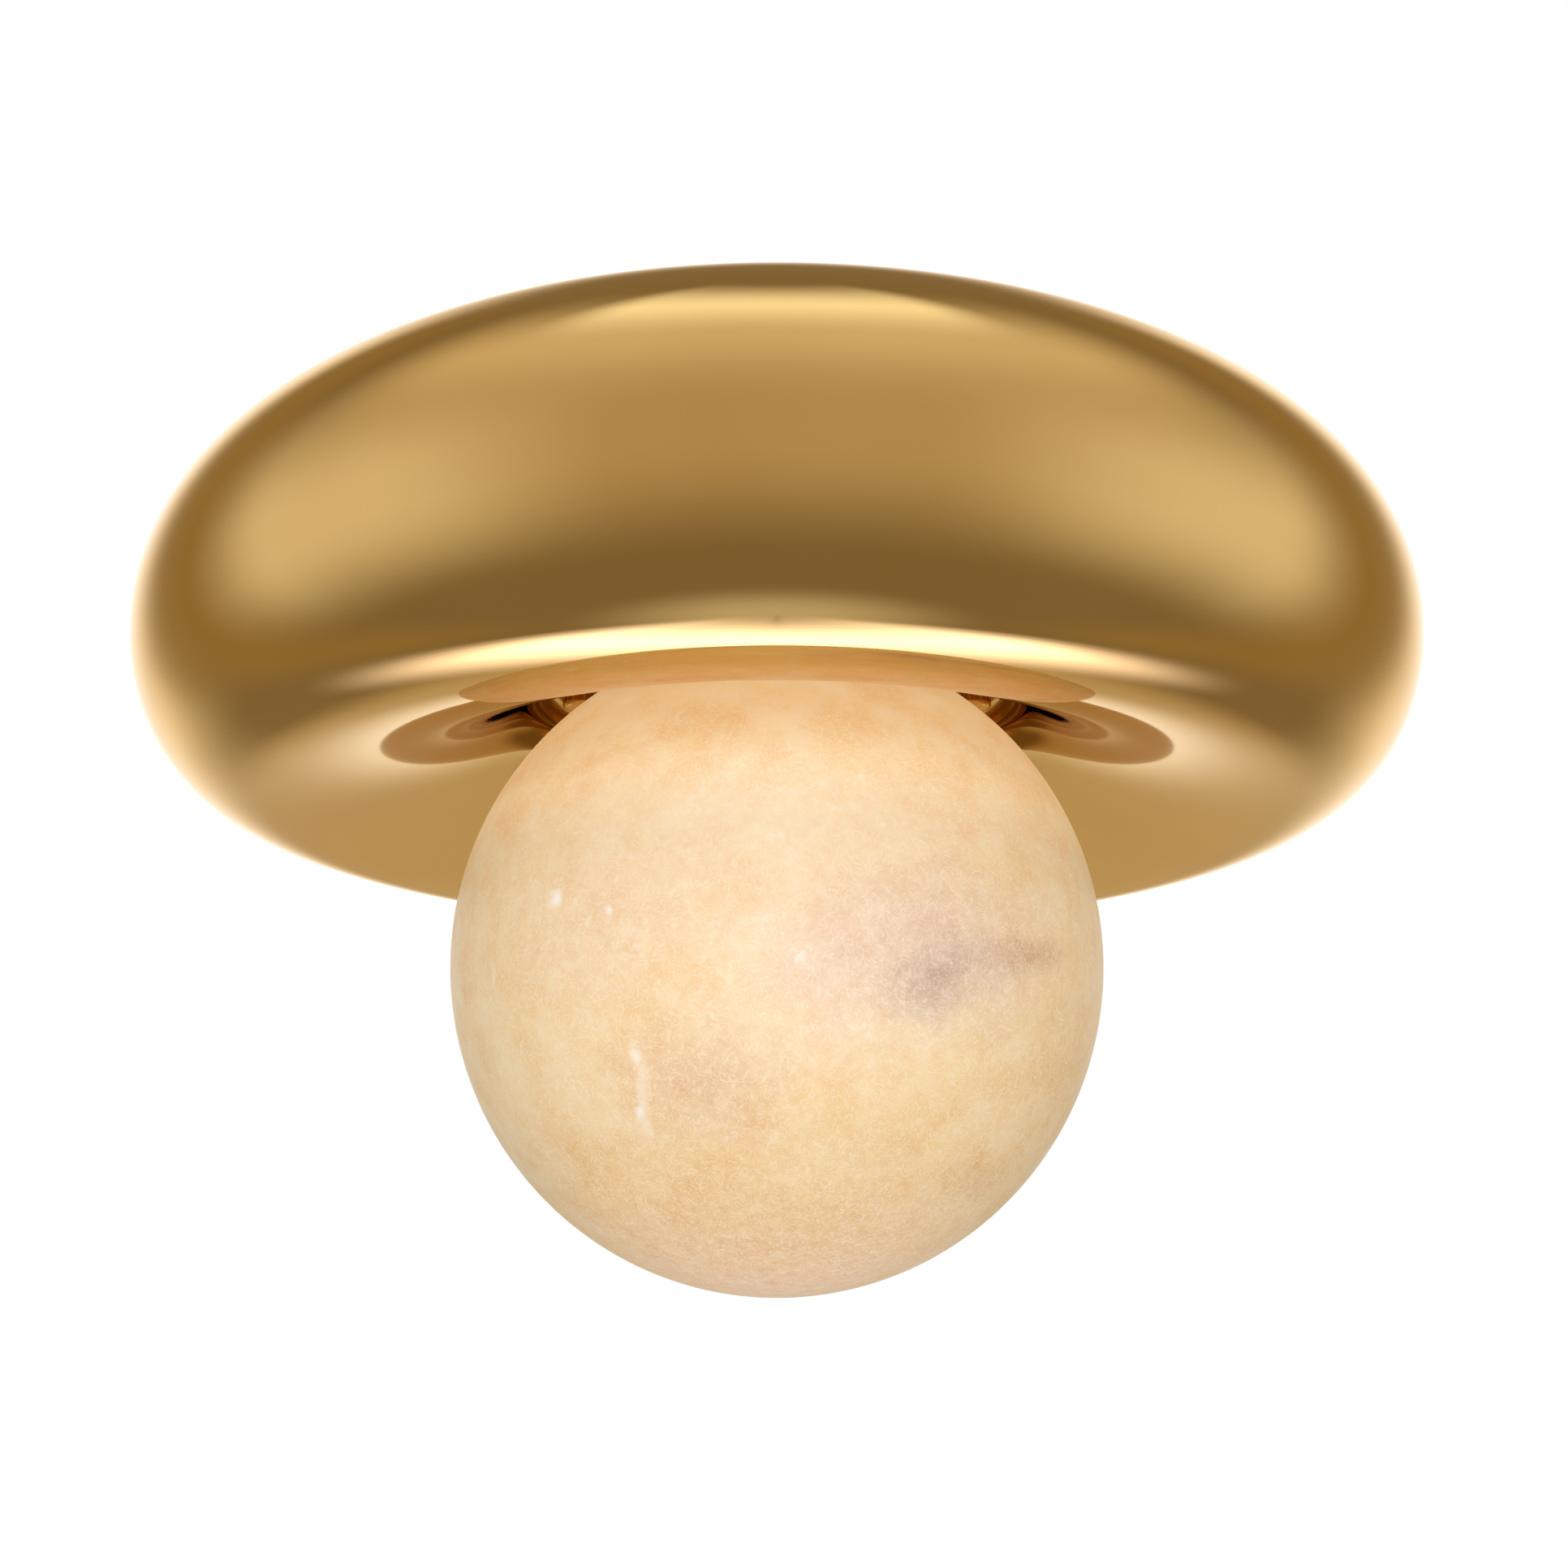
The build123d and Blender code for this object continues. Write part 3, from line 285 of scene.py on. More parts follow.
def lathe_tree():
    """Geometry nodes that turn a section, drawn as radius and height, round the Z axis."""
    made = bpy.data.node_groups.new("turn_on_lathe", "GeometryNodeTree")
    for name, kind in (("Section", "Geometry"), ("Steps round", "Int"), ("Material", "Material")):
        made.interface.new_socket(name, in_out="INPUT", socket_type="NodeSocket" + kind)
    made.interface.new_socket("Body", in_out="OUTPUT", socket_type="NodeSocketGeometry")
    given = node(made, "NodeGroupInput").outputs
    count = node(made, "GeometryNodeAttributeDomainSize", {"Geometry": given["Section"]})
    columns = node(made, "ShaderNodeMath", {0: given["Steps round"], 1: 1.0}, operation="ADD")
    sheet = node(
        made,
        "GeometryNodeMeshGrid",
        {"Size X": math.tau, "Size Y": 1.0, "Vertices X": columns, "Vertices Y": count},
    )
    position = node(made, "GeometryNodeInputPosition")
    spot = node(made, "ShaderNodeSeparateXYZ", {"Vector": position}).outputs
    down = node(made, "ShaderNodeMath", {0: spot["Y"], 1: 0.5}, operation="ADD")
    last = node(made, "ShaderNodeMath", {0: count, 1: 1.0}, operation="SUBTRACT")
    row = node(made, "ShaderNodeMath", {0: down, 1: last}, operation="MULTIPLY")
    whole_row = node(made, "ShaderNodeMath", {0: row}, operation="ROUND")
    point = node(
        made,
        "GeometryNodeSampleIndex",
        {"Geometry": given["Section"], "Value": position, "Index": whole_row},
        data_type="FLOAT_VECTOR",
    )
    swung = node(
        made, "ShaderNodeVectorRotate", {"Vector": point, "Angle": spot["X"]}, rotation_type="Z_AXIS"
    )
    bent = node(made, "GeometryNodeSetPosition", {"Geometry": sheet, "Position": swung})
    closed = node(made, "GeometryNodeMergeByDistance", {"Geometry": bent, "Distance": 1e-6})
    real = node(made, "GeometryNodeRealizeInstances", {"Geometry": closed})
    coated = node(made, "GeometryNodeSetMaterial", {"Geometry": real, "Material": given["Material"]})
    node(made, "NodeGroupOutput", {"Body": coated})
    return made


LATHE = lathe_tree()


def turned(name, section, steps, material):
    """A body of revolution from a section in millimetres, kept as a plain mesh."""
    line = bpy.data.meshes.new(name + "_section")
    points = [(p[0] * MM, 0.0, p[1] * MM) for p in section]
    line.from_pydata(points, [(i, i + 1) for i in range(len(points) - 1)], [])
    blank = bpy.data.objects.new(name + "_section", line)
    scene.collection.objects.link(blank)
    modifier = blank.modifiers.new("lathe", "NODES")
    modifier.node_group = LATHE
    given = {"Steps round": steps, "Material": material}
    for item in LATHE.interface.items_tree:
        if item.name in given:
            modifier[item.identifier] = given[item.name]
    bpy.context.view_layer.update()
    mesh = bpy.data.meshes.new_from_object(blank.evaluated_get(bpy.context.evaluated_depsgraph_get()))
    blank.modifiers.clear()
    bpy.data.objects.remove(blank)
    shape = bmesh.new()
    shape.from_mesh(mesh)
    bmesh.ops.recalc_face_normals(shape, faces=shape.faces)
    for face in shape.faces:
        face.smooth = True
    shape.to_mesh(mesh)
    shape.free()
    mesh.set_sharp_from_angle(angle=CREASE_ANGLE)
    mesh.name = name
    made = bpy.data.objects.new(name, mesh)
    scene.collection.objects.link(made)
    return made


def end_material(tree, inputs):
    """Ends a tree in one shader with these values and links."""
    shader = node(tree, "ShaderNodeBsdfPrincipled", inputs)
    node(tree, "ShaderNodeOutputMaterial", {"Surface": shader})


def spun_brass(name, clear, deep, roughness, ring_mm):
    """Polished brass: nearly a mirror, golden up to its edges, with faint rings left by tool and wheel."""
    made, tree, place = start_material(name)
    cloud = node(tree, "ShaderNodeTexNoise", {"Vector": place, "Scale": 1 / (70 * MM), "Detail": 2.0})
    wear = {"Vector": place, "Scale": 1 / (2 * MM), "Detail": 6.0, "Roughness": 0.7}
    grain = node(tree, "ShaderNodeTexNoise", wear)
    gloss = {"From Min": 0.3, "From Max": 0.7, "To Min": roughness * 0.85, "To Max": roughness * 1.2}
    rings = node(
        tree,
        "ShaderNodeTexWave",
        {"Vector": place, "Scale": math.tau / (20 * ring_mm * MM), "Distortion": 0.6, "Detail": 3.0},
        wave_type="RINGS",
        rings_direction="Z",
    )
    relief = {"Strength": 0.02, "Distance": 0.02 * MM, "Height": rings}
    end_material(
        tree,
        {
            "Metallic": 1.0,
            "Specular Tint": srgb("#f7ead6"),
            "Anisotropic": 0.2,
            "Base Color": node(
                tree, "ShaderNodeValToRGB", {"Fac": cloud}, [(0.35, srgb(clear)), (0.7, srgb(deep))]
            ),
            "Roughness": node(tree, "ShaderNodeMapRange", {"Value": grain, **gloss}),
            "Normal": node(tree, "ShaderNodeBump", relief),
            "Tangent": node(tree, "ShaderNodeTangent", direction_type="RADIAL", axis="Z"),
        },
    )
    return made


ring_brass = spun_brass("spun_polished_brass", "#caa86a", "#c6a163", 0.04, 0.9)
quarter = math.pi / 2
lip = Vector((LIP_RADIUS, LIP_Z))
lip_way = Vector((math.sin(LIP_LEAN), -math.cos(LIP_LEAN)))
bulge = Vector((RING_RADIUS, BULGE_Z))
outside = [lip]
outside += bezier((lip, lip + lip_way * LIP_HANDLE, bulge + Vector((0, BULGE_HANDLE)), bulge), LIP_STEPS)
bulge_centre = Vector((CREST_RADIUS, BULGE_Z))
bulge_radii = (RING_RADIUS - CREST_RADIUS, BULGE_Z - CREST_Z)
outside += arc(bulge_centre, bulge_radii, 0, -quarter, BULGE_STEPS)
corner = Vector((WELL_RADIUS, PAN_Z))
bend_run = WELL_BEND * math.tan((quarter - WELL_LEAN) / 2)
wall_way = Vector((math.sin(WELL_LEAN), -math.cos(WELL_LEAN)))
wall_end = corner + wall_way * bend_run
crest = Vector((CREST_RADIUS, CREST_Z))
dish = (crest, crest - Vector((CREST_HANDLE, 0)), wall_end + wall_way * WELL_HANDLE, wall_end)
outside += bezier(dish, DISH_STEPS)
bend_centre = Vector((corner.x - bend_run, PAN_Z - WELL_BEND))
outside += arc(bend_centre, (WELL_BEND, WELL_BEND), WELL_LEAN, quarter, BEND_STEPS)
outside += [Vector((r, PAN_Z)) for r in PAN_RADII]
hidden = thickened(outside, BRASS_WALL)
flange_end = Vector((LIP_RADIUS - LIP_FLANGE, LIP_Z))
# The hidden side takes every third point.
section = outside + hidden[:0:-3] + [flange_end - Vector((0, BRASS_WALL)), flange_end, lip]
brass_ring = turned("brass_ring", section, STEPS_ROUND_RING, ring_brass)
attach(brass_ring, "housing")
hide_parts("outer_ring_shell", "inner_dish_shell")


# Alabaster globe. One piece of translucent stone, hollowed on a lathe, sanded and waxed: cream with honey
# clouds, a grey vein, pink-brown patches, pale hairlines and small white crystals. A weak warm glow is
# painted on it as emission, strongest near the neck, standing in for light where the ring shades its top.
GLOBE_RADIUS = 103.0
GLOBE_WALL = 9.0
GLOBE_RIM = 50.1
STONE_BORE = 38.0
STONE_TOP_Z = -36.4
GLOBE_Z = STONE_TOP_Z - math.sqrt(GLOBE_RADIUS**2 - GLOBE_RIM**2)
# Painted glow, as emission strength by height: strong at the top, weak below, filling the ring's shade on
# the globe.
PAINTED_GLOW_TOP_Z = -62.0
PAINTED_GLOW_LOW_Z = -108.0
PAINTED_GLOW_TOP = 0.55
PAINTED_GLOW_LOW = 0.12
STEPS_ROUND_GLOBE = 288
OUTER_STEPS = 140
INNER_STEPS = 48

# Middle, half sizes and tilt of each patch in millimetres and degrees, then its colour and strength. They
# are placed where the photo shows a marking, and the small amber one where it shows shade.
PATCHES = [
    ((0, -60, -224), (98, 90, 56), (0, 0, 0), "#e6b872", 0.85),  # honey underside
    ((82, -50, -165), (40, 50, 40), (0, 0, 0), "#ecc486", 0.65),  # honey flank
    ((0, -98, -104), (80, 60, 26), (0, 0, 0), "#f7e9cd", 0.55),  # pale brow
    ((8, -100, -142), (48, 60, 34), (0, 0, 0), "#f6e1c8", 0.6),  # pale middle
    ((-42, -88, -132), (36, 50, 26), (0, 0, 0), "#f0d8bc", 0.5),  # rosy cloud
    ((40, -90, -138), (48, 60, 27), (0, -6, 0), "#dfc2ac", 0.8),  # mauve haze round the vein
    ((43, -90, -144), (24, 40, 12), (0, -22, 0), "#bca48f", 0.6),  # grey core of the vein
    ((68, -77, -137), (13, 30, 8), (0, 0, 0), "#c4966e", 0.65),  # its brown end
    ((-20, -90, -171), (30, 40, 19), (0, 0, 0), "#e0ba98", 0.6),  # pink-brown patch
    ((54, -58, -194), (12, 30, 8), (0, 0, 0), "#dcae78", 0.4),  # painted shade low on the right, a small amber patch
    ((-23, -99, -143), (18, 30, 9), (0, 0, 0), "#f2cc8c", 0.5),  # golden spot
    ((-43, -61, -197), (13, 30, 16), (0, 0, 0), "#f2c680", 0.45),  # golden spot
    ((-36, -84, -174), (3, 20, 18), (0, 4, 0), "#fbeed8", 0.5),  # pale streak
    ((-49, -91, -130), (1.8, 4, 2.2), (0, 0, 0), "#fff6e8", 0.9),  # white crystal
    ((-44, -93, -131), (2, 4, 2), (0, 0, 0), "#fffaf0", 1.0),  # white crystal
    ((-58, -85, -124), (1.5, 4, 3), (0, 20, 0), "#fffaf0", 0.9),  # white crystal
    ((7, -102, -141), (2.5, 4, 1.5), (0, 0, 0), "#fffaf0", 1.0),  # white crystal
    ((-36, -90, -166), (1.4, 4, 2.4), (0, 0, 0), "#fff6e8", 0.9),  # white crystal
    ((-37, -82, -178), (1.6, 4, 1.8), (0, 0, 0), "#fff6e8", 0.9),  # white crystal
    ((-80, -63, -140), (1.5, 4, 5), (0, 6, 0), "#fdf3e2", 0.8),  # white crystal
]

# Size of the curls in millimetres, the noise level that they follow, and their strength.
HAIRS = [(5.0, 0.43, 0.34), (5.0, 0.57, 0.3), (3.4, 0.5, 0.28)]
HAIR_WIDTH = 0.03

alabaster, tree, place = start_material("waxed_alabaster")
warp = node(tree, "ShaderNodeTexNoise", {"Vector": place, "Scale": 1 / (18 * MM), "Detail": 2.0})
shift = node(
    tree, "ShaderNodeVectorMath", {0: warp.outputs["Color"], 1: (0.5, 0.5, 0.5)}, operation="SUBTRACT"
)
spread = node(tree, "ShaderNodeVectorMath", {0: shift, "Scale": 16 * MM}, operation="SCALE")
bent = node(tree, "ShaderNodeVectorMath", {0: place, 1: spread}, operation="ADD")
cloud = node(
    tree, "ShaderNodeTexNoise", {"Vector": place, "Scale": 1 / (14 * MM), "Detail": 7.0, "Roughness": 0.66}
)
stone = node(
    tree,
    "ShaderNodeValToRGB",
    {"Fac": cloud},
    [(0.3, srgb("#f4e1b6")), (0.5, srgb("#f1d5a2")), (0.7, srgb("#ecc68b"))],
)
for centre, radii, tilt, colour, strength in PATCHES:
    seat = node(
        tree,
        "ShaderNodeMapping",
        {
            "Vector": bent,
            "Location": tuple(c * MM for c in centre),
            "Rotation": tuple(math.radians(t) for t in tilt),
            "Scale": tuple(r * MM for r in radii),
        },
        vector_type="TEXTURE",
    )
    ball = node(tree, "ShaderNodeTexGradient", {"Vector": seat}, gradient_type="SPHERICAL")
    fade = [(0.0, 0.0), (0.35, 0.4 * strength), (0.9, strength)]
    share = node(tree, "ShaderNodeValToRGB", {"Fac": ball}, fade)
    layers = {"Factor": share, "A": stone, "B": srgb(colour)}
    stone = node(tree, "ShaderNodeMix", layers, data_type="RGBA")
fleck = node(
    tree, "ShaderNodeTexNoise", {"Vector": place, "Scale": 1 / (3.5 * MM), "Detail": 5.0, "Roughness": 0.6}
)
flecks = node(tree, "ShaderNodeValToRGB", {"Fac": fleck}, [(0.32, 0.37), (0.68, 0.63)])
stone = node(
    tree,
    "ShaderNodeMix",
    {"Factor": 1.0, "A": stone, "B": flecks},
    data_type="RGBA",
    blend_type="SOFT_LIGHT",
)
for size_mm, middle, strength in HAIRS:
    curl = node(
        tree,
        "ShaderNodeTexNoise",
        {"Vector": place, "Scale": 1 / (size_mm * MM), "Detail": 1.5, "Distortion": 1.6},
    )
    hairs = node(
        tree,
        "ShaderNodeValToRGB",
        {"Fac": curl},
        [(middle - HAIR_WIDTH, 0.0), (middle, strength), (middle + HAIR_WIDTH, 0.0)],
    )
    stone = node(
        tree, "ShaderNodeMix", {"Factor": hairs, "A": stone, "B": srgb("#fff4e0")}, data_type="RGBA"
    )
pits = node(
    tree, "ShaderNodeTexNoise", {"Vector": place, "Scale": 1 / (2.4 * MM), "Detail": 5.0, "Roughness": 0.65}
)
level = node(tree, "ShaderNodeSeparateXYZ", {"Vector": place}).outputs["Z"]
# Painted glow: emission in the stone's own colour, rising towards the neck, where the ring shades the
# stone.
painted_glow_span = {
    "From Min": PAINTED_GLOW_TOP_Z * MM,
    "From Max": PAINTED_GLOW_LOW_Z * MM,
    "To Min": PAINTED_GLOW_TOP,
    "To Max": PAINTED_GLOW_LOW,
}
end_material(
    tree,
    {
        "Roughness": 0.5,
        "IOR": 1.52,
        "Specular IOR Level": 0.2,
        "Subsurface Weight": 0.35,
        "Subsurface Radius": (1.0, 0.55, 0.3),
        "Subsurface Scale": 6 * MM,
        "Base Color": stone,
        "Emission Color": node(
            tree,
            "ShaderNodeMix",
            {"Factor": 1.0, "A": stone, "B": srgb("#fff4e2")},
            data_type="RGBA",
            blend_type="MULTIPLY",
        ),
        "Emission Strength": node(tree, "ShaderNodeMapRange", {"Value": level, **painted_glow_span}),
        "Normal": node(tree, "ShaderNodeBump", {"Strength": 0.4, "Distance": 0.35 * MM, "Height": pits}),
    },
)

rim_angle = math.acos((STONE_TOP_Z - GLOBE_Z) / GLOBE_RADIUS)
bore_angle = math.asin(STONE_BORE / (GLOBE_RADIUS - GLOBE_WALL))
middle = Vector((0, GLOBE_Z))
inner = GLOBE_RADIUS - GLOBE_WALL
stone_line = [Vector((0, GLOBE_Z - GLOBE_RADIUS))]
stone_line += arc(middle, (GLOBE_RADIUS, GLOBE_RADIUS), -quarter, quarter - rim_angle, OUTER_STEPS)
stone_line += [Vector((STONE_BORE, STONE_TOP_Z))]
stone_line += [middle + Vector((math.sin(bore_angle), math.cos(bore_angle))) * inner]
stone_line += arc(middle, (inner, inner), quarter - bore_angle, -quarter, INNER_STEPS)
alabaster_ball = turned("alabaster_ball", stone_line, STEPS_ROUND_GLOBE, alabaster)
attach(alabaster_ball, "globe")
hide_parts("alabaster_globe")


# Crossbar and backing plate. Mild steel, cut and folded on a press, then zinc plated: a cool grey with a
# faint grain along the rolling direction and soft blotches where the plating took unevenly.
def finish(material, *names):
    """Gives CAD pieces a finish of this scene."""
    for name in names:
        mesh = nodes[name].data
        mesh.materials.clear()
        mesh.materials.append(material)


def plated_steel(name, light, dark, grain_way):
    """Plated or cast metal with a drawn grain. Grain way squeezes the pattern along X, Y and Z."""
    made, tree, place = start_material(name)
    drawn = node(tree, "ShaderNodeMapping", {"Vector": place, "Scale": grain_way})
    grain = node(tree, "ShaderNodeTexNoise", {"Vector": drawn, "Scale": 1 / (1.2 * MM), "Detail": 5.0})
    blotch = node(tree, "ShaderNodeTexNoise", {"Vector": place, "Scale": 1 / (14 * MM), "Detail": 3.0})
    both = node(tree, "ShaderNodeMath", {0: grain, 1: blotch}, operation="ADD")
    tone = node(tree, "ShaderNodeMath", {0: both, 1: 0.5}, operation="MULTIPLY")
    gloss = {"From Min": 0.3, "From Max": 0.7, "To Min": 0.28, "To Max": 0.46}
    relief = {"Strength": 0.15, "Distance": 0.05 * MM, "Height": grain}
    end_material(
        tree,
        {
            "Metallic": 1.0,
            "Base Color": node(
                tree, "ShaderNodeValToRGB", {"Fac": tone}, [(0.35, srgb(dark)), (0.65, srgb(light))]
            ),
            "Roughness": node(tree, "ShaderNodeMapRange", {"Value": blotch, **gloss}),
            "Normal": node(tree, "ShaderNodeBump", relief),
        },
    )
    return made


finish(plated_steel("zinc_plated_bar", "#c9ccce", "#9fa4a8", (0.06, 1.0, 1.0)), "ceiling_bracket")
finish(plated_steel("zinc_plated_sheet", "#cdcfd0", "#a6aaac", (1.0, 0.08, 1.0)), "backing_plate")


# Gasket under the ring's lip. Closed-cell foam rubber, die cut: black and matt, with fine burst cells.
foam, tree, place = start_material("closed_cell_foam")
cells = node(tree, "ShaderNodeTexVoronoi", {"Vector": place, "Scale": 1 / (0.9 * MM)})
end_material(
    tree,
    {
        "Roughness": 0.95,
        "Specular IOR Level": 0.25,
        "Base Color": node(
            tree, "ShaderNodeValToRGB", {"Fac": cells}, [(0.1, srgb("#101010")), (0.8, srgb("#2c2b2a"))]
        ),
        "Normal": node(tree, "ShaderNodeBump", {"Strength": 0.6, "Distance": 0.3 * MM, "Height": cells}),
    },
)
finish(foam, "ceiling_gasket")


# Studs, screws, nuts and washers. Cold-headed steel with rolled threads, zinc plated; the cap nuts that
# show in the well are turned and knurled brass. A thread is drawn as relief, at its real pitch.
# A face counts as upright where its normal rises or falls by less than this share.
SIDE_LIMIT = 0.3


def threaded_metal(name, light, dark, roughness, pitch_mm, seat_x=0.0):
    """Metal with a right-hand thread on upright faces: it climbs one pitch for each turn round its seat.

    A second seat lies at minus seat_x, for pieces that come in pairs.
    """
    made, tree, place = start_material(name)
    grain = node(tree, "ShaderNodeTexNoise", {"Vector": place, "Scale": 1 / (3 * MM), "Detail": 5.0})
    spot = node(tree, "ShaderNodeSeparateXYZ", {"Vector": place}).outputs
    away = node(tree, "ShaderNodeMath", {0: spot["X"]}, operation="SIGN")
    seat = node(tree, "ShaderNodeMath", {0: away, 1: seat_x * MM}, operation="MULTIPLY")
    beside = node(tree, "ShaderNodeMath", {0: spot["X"], 1: seat}, operation="SUBTRACT")
    turn = node(tree, "ShaderNodeMath", {0: spot["Y"], 1: beside}, operation="ARCTAN2")
    turns = node(tree, "ShaderNodeMath", {0: turn, 1: math.tau}, operation="DIVIDE")
    pitches = node(tree, "ShaderNodeMath", {0: spot["Z"], 1: pitch_mm * MM}, operation="DIVIDE")
    phase = node(tree, "ShaderNodeMath", {0: pitches, 1: turns}, operation="SUBTRACT")
    ridge = node(tree, "ShaderNodeMath", {0: phase, 1: 0.5}, operation="PINGPONG")
    facing = node(tree, "ShaderNodeNewGeometry").outputs["True Normal"]
    upright = node(tree, "ShaderNodeSeparateXYZ", {"Vector": facing}).outputs["Z"]
    flat = node(tree, "ShaderNodeMath", {0: upright}, operation="ABSOLUTE")
    on_side = node(tree, "ShaderNodeMath", {0: flat, 1: SIDE_LIMIT}, operation="LESS_THAN")
    thread = node(tree, "ShaderNodeMath", {0: ridge, 1: on_side}, operation="MULTIPLY")
    end_material(
        tree,
        {
            "Metallic": 1.0,
            "Roughness": roughness,
            "Base Color": node(
                tree, "ShaderNodeValToRGB", {"Fac": grain}, [(0.35, srgb(dark)), (0.65, srgb(light))]
            ),
            "Normal": node(
                tree, "ShaderNodeBump", {"Strength": 0.9, "Distance": pitch_mm * MM, "Height": thread}
            ),
        },
    )
    return made


STUD_X = 68.2
finish(threaded_metal("rolled_thread_studs", "#cfd1d2", "#a4a7aa", 0.3, 0.8, STUD_X), "hanger_studs")
screw_steel = plated_steel("cold_headed_screws", "#d2d3d2", "#a3a5a5", (1.0, 1.0, 0.2))
finish(screw_steel, "stud_washers", "fitter_screws", "fitter_nuts", "clamp_screws", "block_screws")
finish(spun_brass("turned_brass", "#dcb368", "#c99a4e", 0.24, 0.45), "cap_nuts")


# Threaded neck and collar. Both are turned from brass bar; the collar is bonded into the stone, and its
# 3 mm thread runs on the neck's. The keyed washer between them is milky nylon, the ring silicone rubber.
def moulded(name, light, dark, grain_mm, relief_mm, inputs):
    """A cast, moulded or glazed material: two close tones and a fine relief of one grain size."""
    made, tree, place = start_material(name)
    cloud = node(tree, "ShaderNodeTexNoise", {"Vector": place, "Scale": 1 / (8 * MM), "Detail": 3.0})
    grain = node(tree, "ShaderNodeTexNoise", {"Vector": place, "Scale": 1 / (grain_mm * MM), "Detail": 4.0})
    tone = node(tree, "ShaderNodeValToRGB", {"Fac": cloud}, [(0.3, srgb(light)), (0.7, srgb(dark))])
    relief = node(tree, "ShaderNodeBump", {"Strength": 0.4, "Distance": relief_mm * MM, "Height": grain})
    end_material(tree, {"Base Color": tone, "Normal": relief, **inputs})
    return made


neck_brass = threaded_metal("threaded_neck_brass", "#d9b06a", "#b98d49", 0.26, 3.0)
finish(neck_brass, "globe_fitter", "globe_collar")
nylon = {"Roughness": 0.5, "Subsurface Weight": 0.25, "Subsurface Scale": 2 * MM}
finish(moulded("milky_nylon", "#e6e1d2", "#f1eee3", 1.5, 0.1, nylon), "slip_washer")
rubber = {"Roughness": 0.6, "Sheen Weight": 0.2}
finish(moulded("silicone_rubber", "#cfccc2", "#dcdad1", 0.8, 0.05, rubber), "neck_gasket")


# Lamp holder. White glazed porcelain in a pressed brass cap on a hollow brass nipple, with a thin brass
# screw shell, a sprung contact and two long screws. The glaze has the slight waviness of a dipped piece.
glaze = {"Roughness": 0.12, "IOR": 1.5, "Coat Weight": 0.6, "Coat Roughness": 0.04}
finish(moulded("glazed_porcelain", "#ece8dd", "#f4f1e9", 5.0, 0.1, glaze), "socket_body")
cap_brass = spun_brass("pressed_brass_cap", "#dfb76c", "#caa055", 0.2, 0.6)
finish(cap_brass, "socket_cap", "socket_terminals", "nipple_nuts", "contact_plunger")
finish(threaded_metal("rolled_screw_shell", "#d8b878", "#b8934f", 0.25, 3.629), "socket_screw_shell")
finish(threaded_metal("threaded_nipple", "#d9b06a", "#b98d49", 0.3, 1.0), "centre_nipple")
finish(screw_steel, "socket_screws")
finish(plated_steel("drawn_spring_wire", "#b6b8ba", "#7f8285", (1.0, 1.0, 1.0)), "plunger_spring")


# Light bulb. An opal diffuser over a white board with yellow light chips, a finned white heat sink, and a
# nickel-plated screw base that ends in black glass and a blob of solder.
opal = {
    "Roughness": 0.45,
    "Subsurface Weight": 0.3,
    "Subsurface Scale": 4 * MM,
    "Emission Color": srgb("#ffd9a0"),
    "Emission Strength": 0.7,
}
finish(moulded("opal_diffuser", "#fbf0d9", "#fff8ea", 2.0, 0.05, opal), "lamp_diffuser")
finish(moulded("moulded_heat_sink", "#dfdfdc", "#ecebe8", 0.8, 0.1, {"Roughness": 0.48}), "lamp_heat_sink")

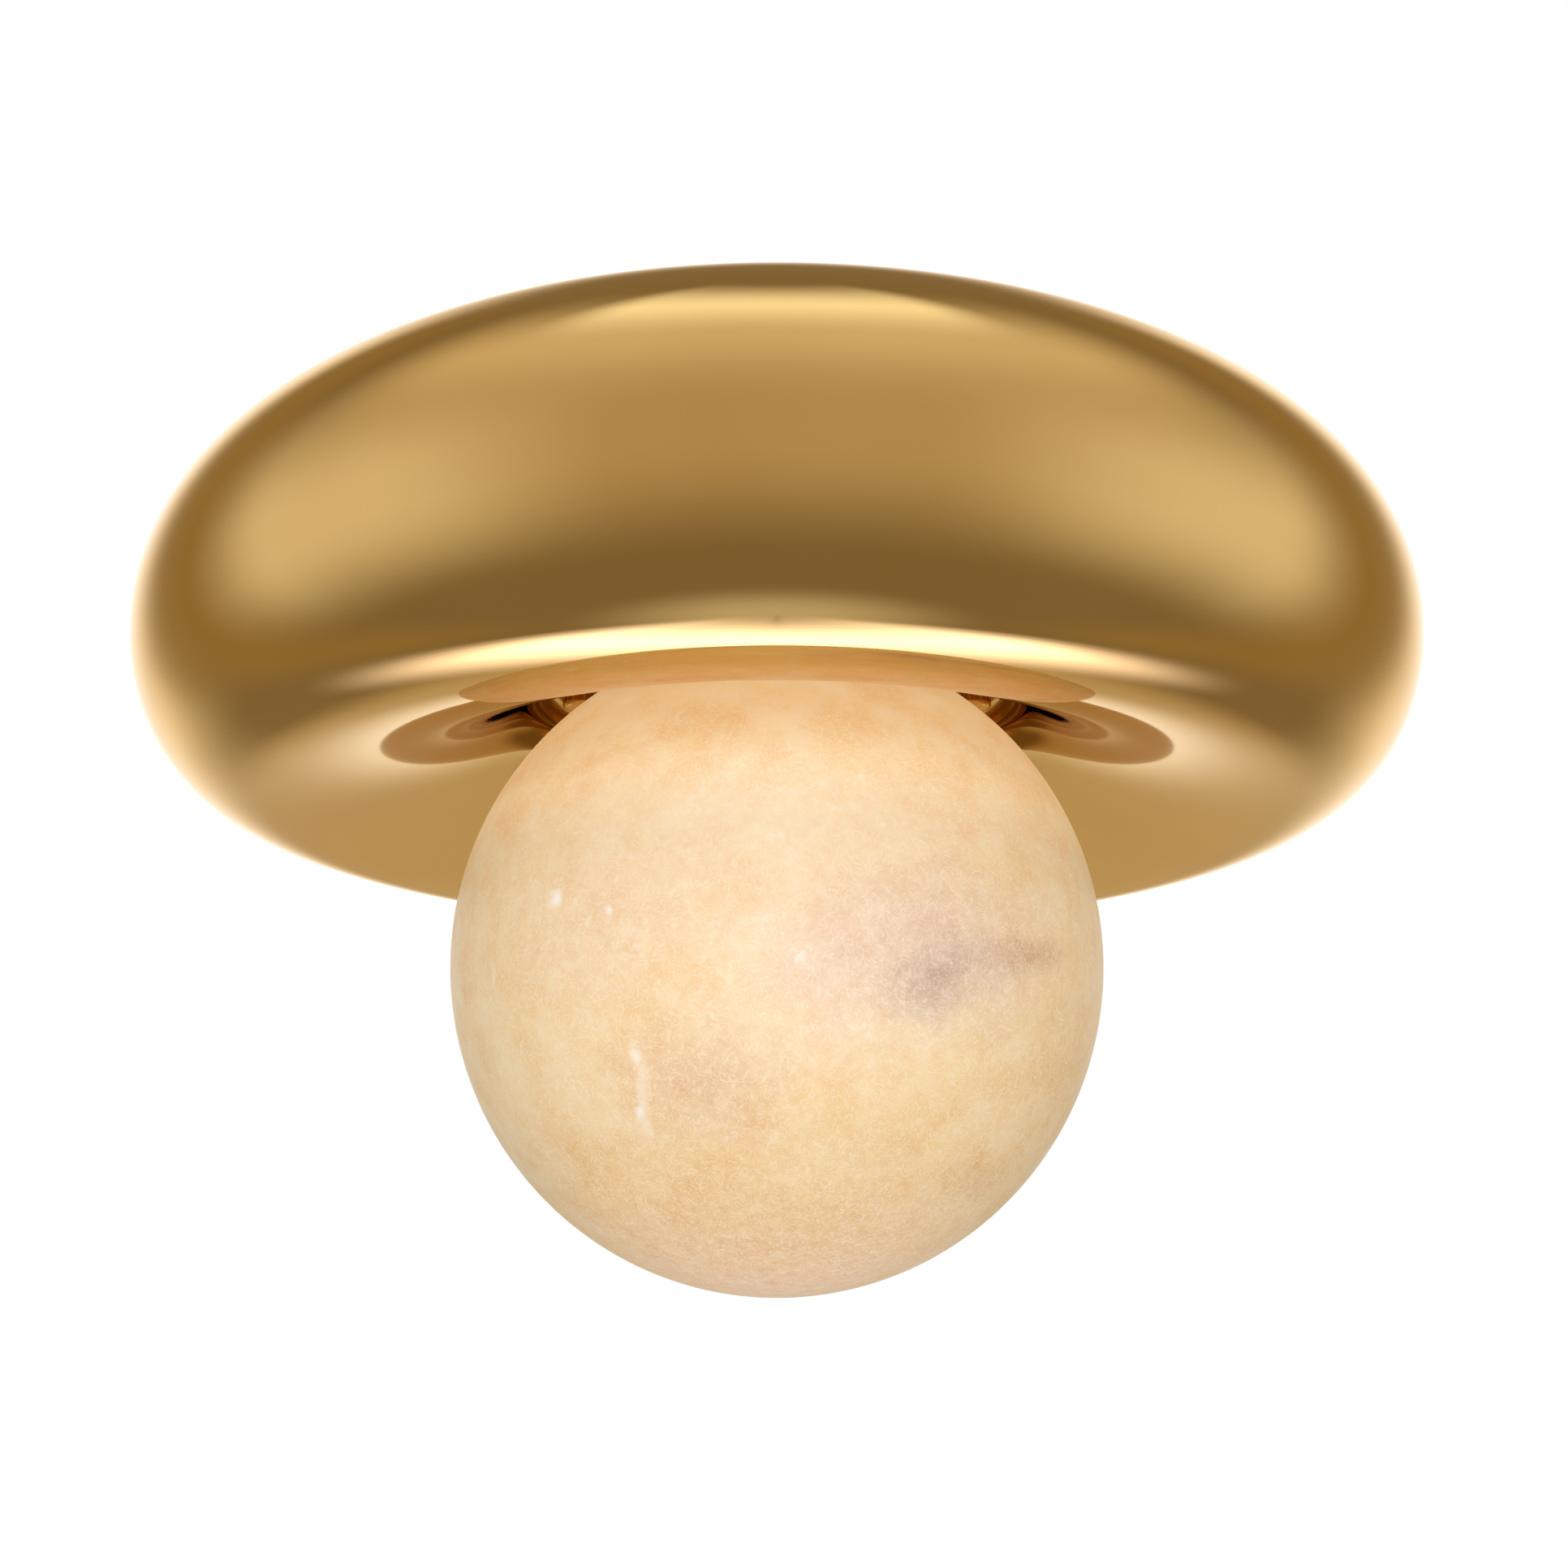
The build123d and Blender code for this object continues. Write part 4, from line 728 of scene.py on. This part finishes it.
board, tree, place = start_material("white_circuit_board")
CHIP_REACH = 0.6 * MM
BOARD_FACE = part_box("led_board")[0][2] + CHIP_REACH
weave = node(tree, "ShaderNodeTexNoise", {"Vector": place, "Scale": 1 / (1.5 * MM), "Detail": 2.0})
mask = node(
    tree, "ShaderNodeValToRGB", {"Fac": weave}, [(0.3, srgb("#dddfd8")), (0.7, srgb("#edeee9"))]
)
height = node(tree, "ShaderNodeSeparateXYZ", {"Vector": place}).outputs["Z"]
chip = node(tree, "ShaderNodeMath", {0: height, 1: BOARD_FACE}, operation="LESS_THAN")
tint = node(tree, "ShaderNodeMix", {"Factor": chip, "A": mask, "B": srgb("#f2cf45")}, data_type="RGBA")
end_material(tree, {"Roughness": 0.35, "Base Color": tint})
finish(board, "led_board")

finish(threaded_metal("nickel_screw_base", "#dcd9d2", "#b3afa6", 0.2, 3.629), "lamp_screw_base")
glass = {"Roughness": 0.1, "IOR": 1.52}
finish(moulded("fused_black_glass", "#08080a", "#1b1a20", 4.0, 0.05, glass), "lamp_insulator")
finish(plated_steel("solder_blob", "#c4c4c2", "#8d8e8d", (1.0, 1.0, 1.0)), "lamp_tip")


# Terminal block, leads and earth screws. The block is moulded polyamide with brass clamp tubes; the leads
# are silicone insulated in brown, blue and green with a yellow stripe; the earth screws are green.
finish(moulded("moulded_polyamide", "#dedbd0", "#e9e7de", 0.5, 0.1, {"Roughness": 0.52}), "terminal_block")
finish(cap_brass, "terminal_clamps")
supple = {"Roughness": 0.55, "Sheen Weight": 0.15}
finish(moulded("brown_silicone_lead", "#552b13", "#6d3b1e", 1.0, 0.05, supple), "live_lead")
finish(moulded("blue_silicone_lead", "#1f4a88", "#2c5fa8", 1.0, 0.05, supple), "neutral_lead")

striped, tree, place = start_material("green_yellow_silicone_lead")
cloud = node(tree, "ShaderNodeTexNoise", {"Vector": place, "Scale": 1 / (2.5 * MM), "Detail": 3.0})
green = node(
    tree, "ShaderNodeValToRGB", {"Fac": cloud}, [(0.3, srgb("#2b6f2c")), (0.7, srgb("#3d8c3c"))]
)
facing = node(tree, "ShaderNodeNewGeometry").outputs["Normal"]
sideways = node(tree, "ShaderNodeSeparateXYZ", {"Vector": facing}).outputs["Y"]
band = node(tree, "ShaderNodeMath", {0: sideways, 1: 0.45}, operation="GREATER_THAN")
tint = node(tree, "ShaderNodeMix", {"Factor": band, "A": green, "B": srgb("#e5cf3a")}, data_type="RGBA")
end_material(tree, {"Base Color": tint, **supple})
finish(striped, "earth_lead")
finish(plated_steel("green_passivated_screws", "#5f9a63", "#3c6f42", (1.0, 1.0, 1.0)), "earth_screws")
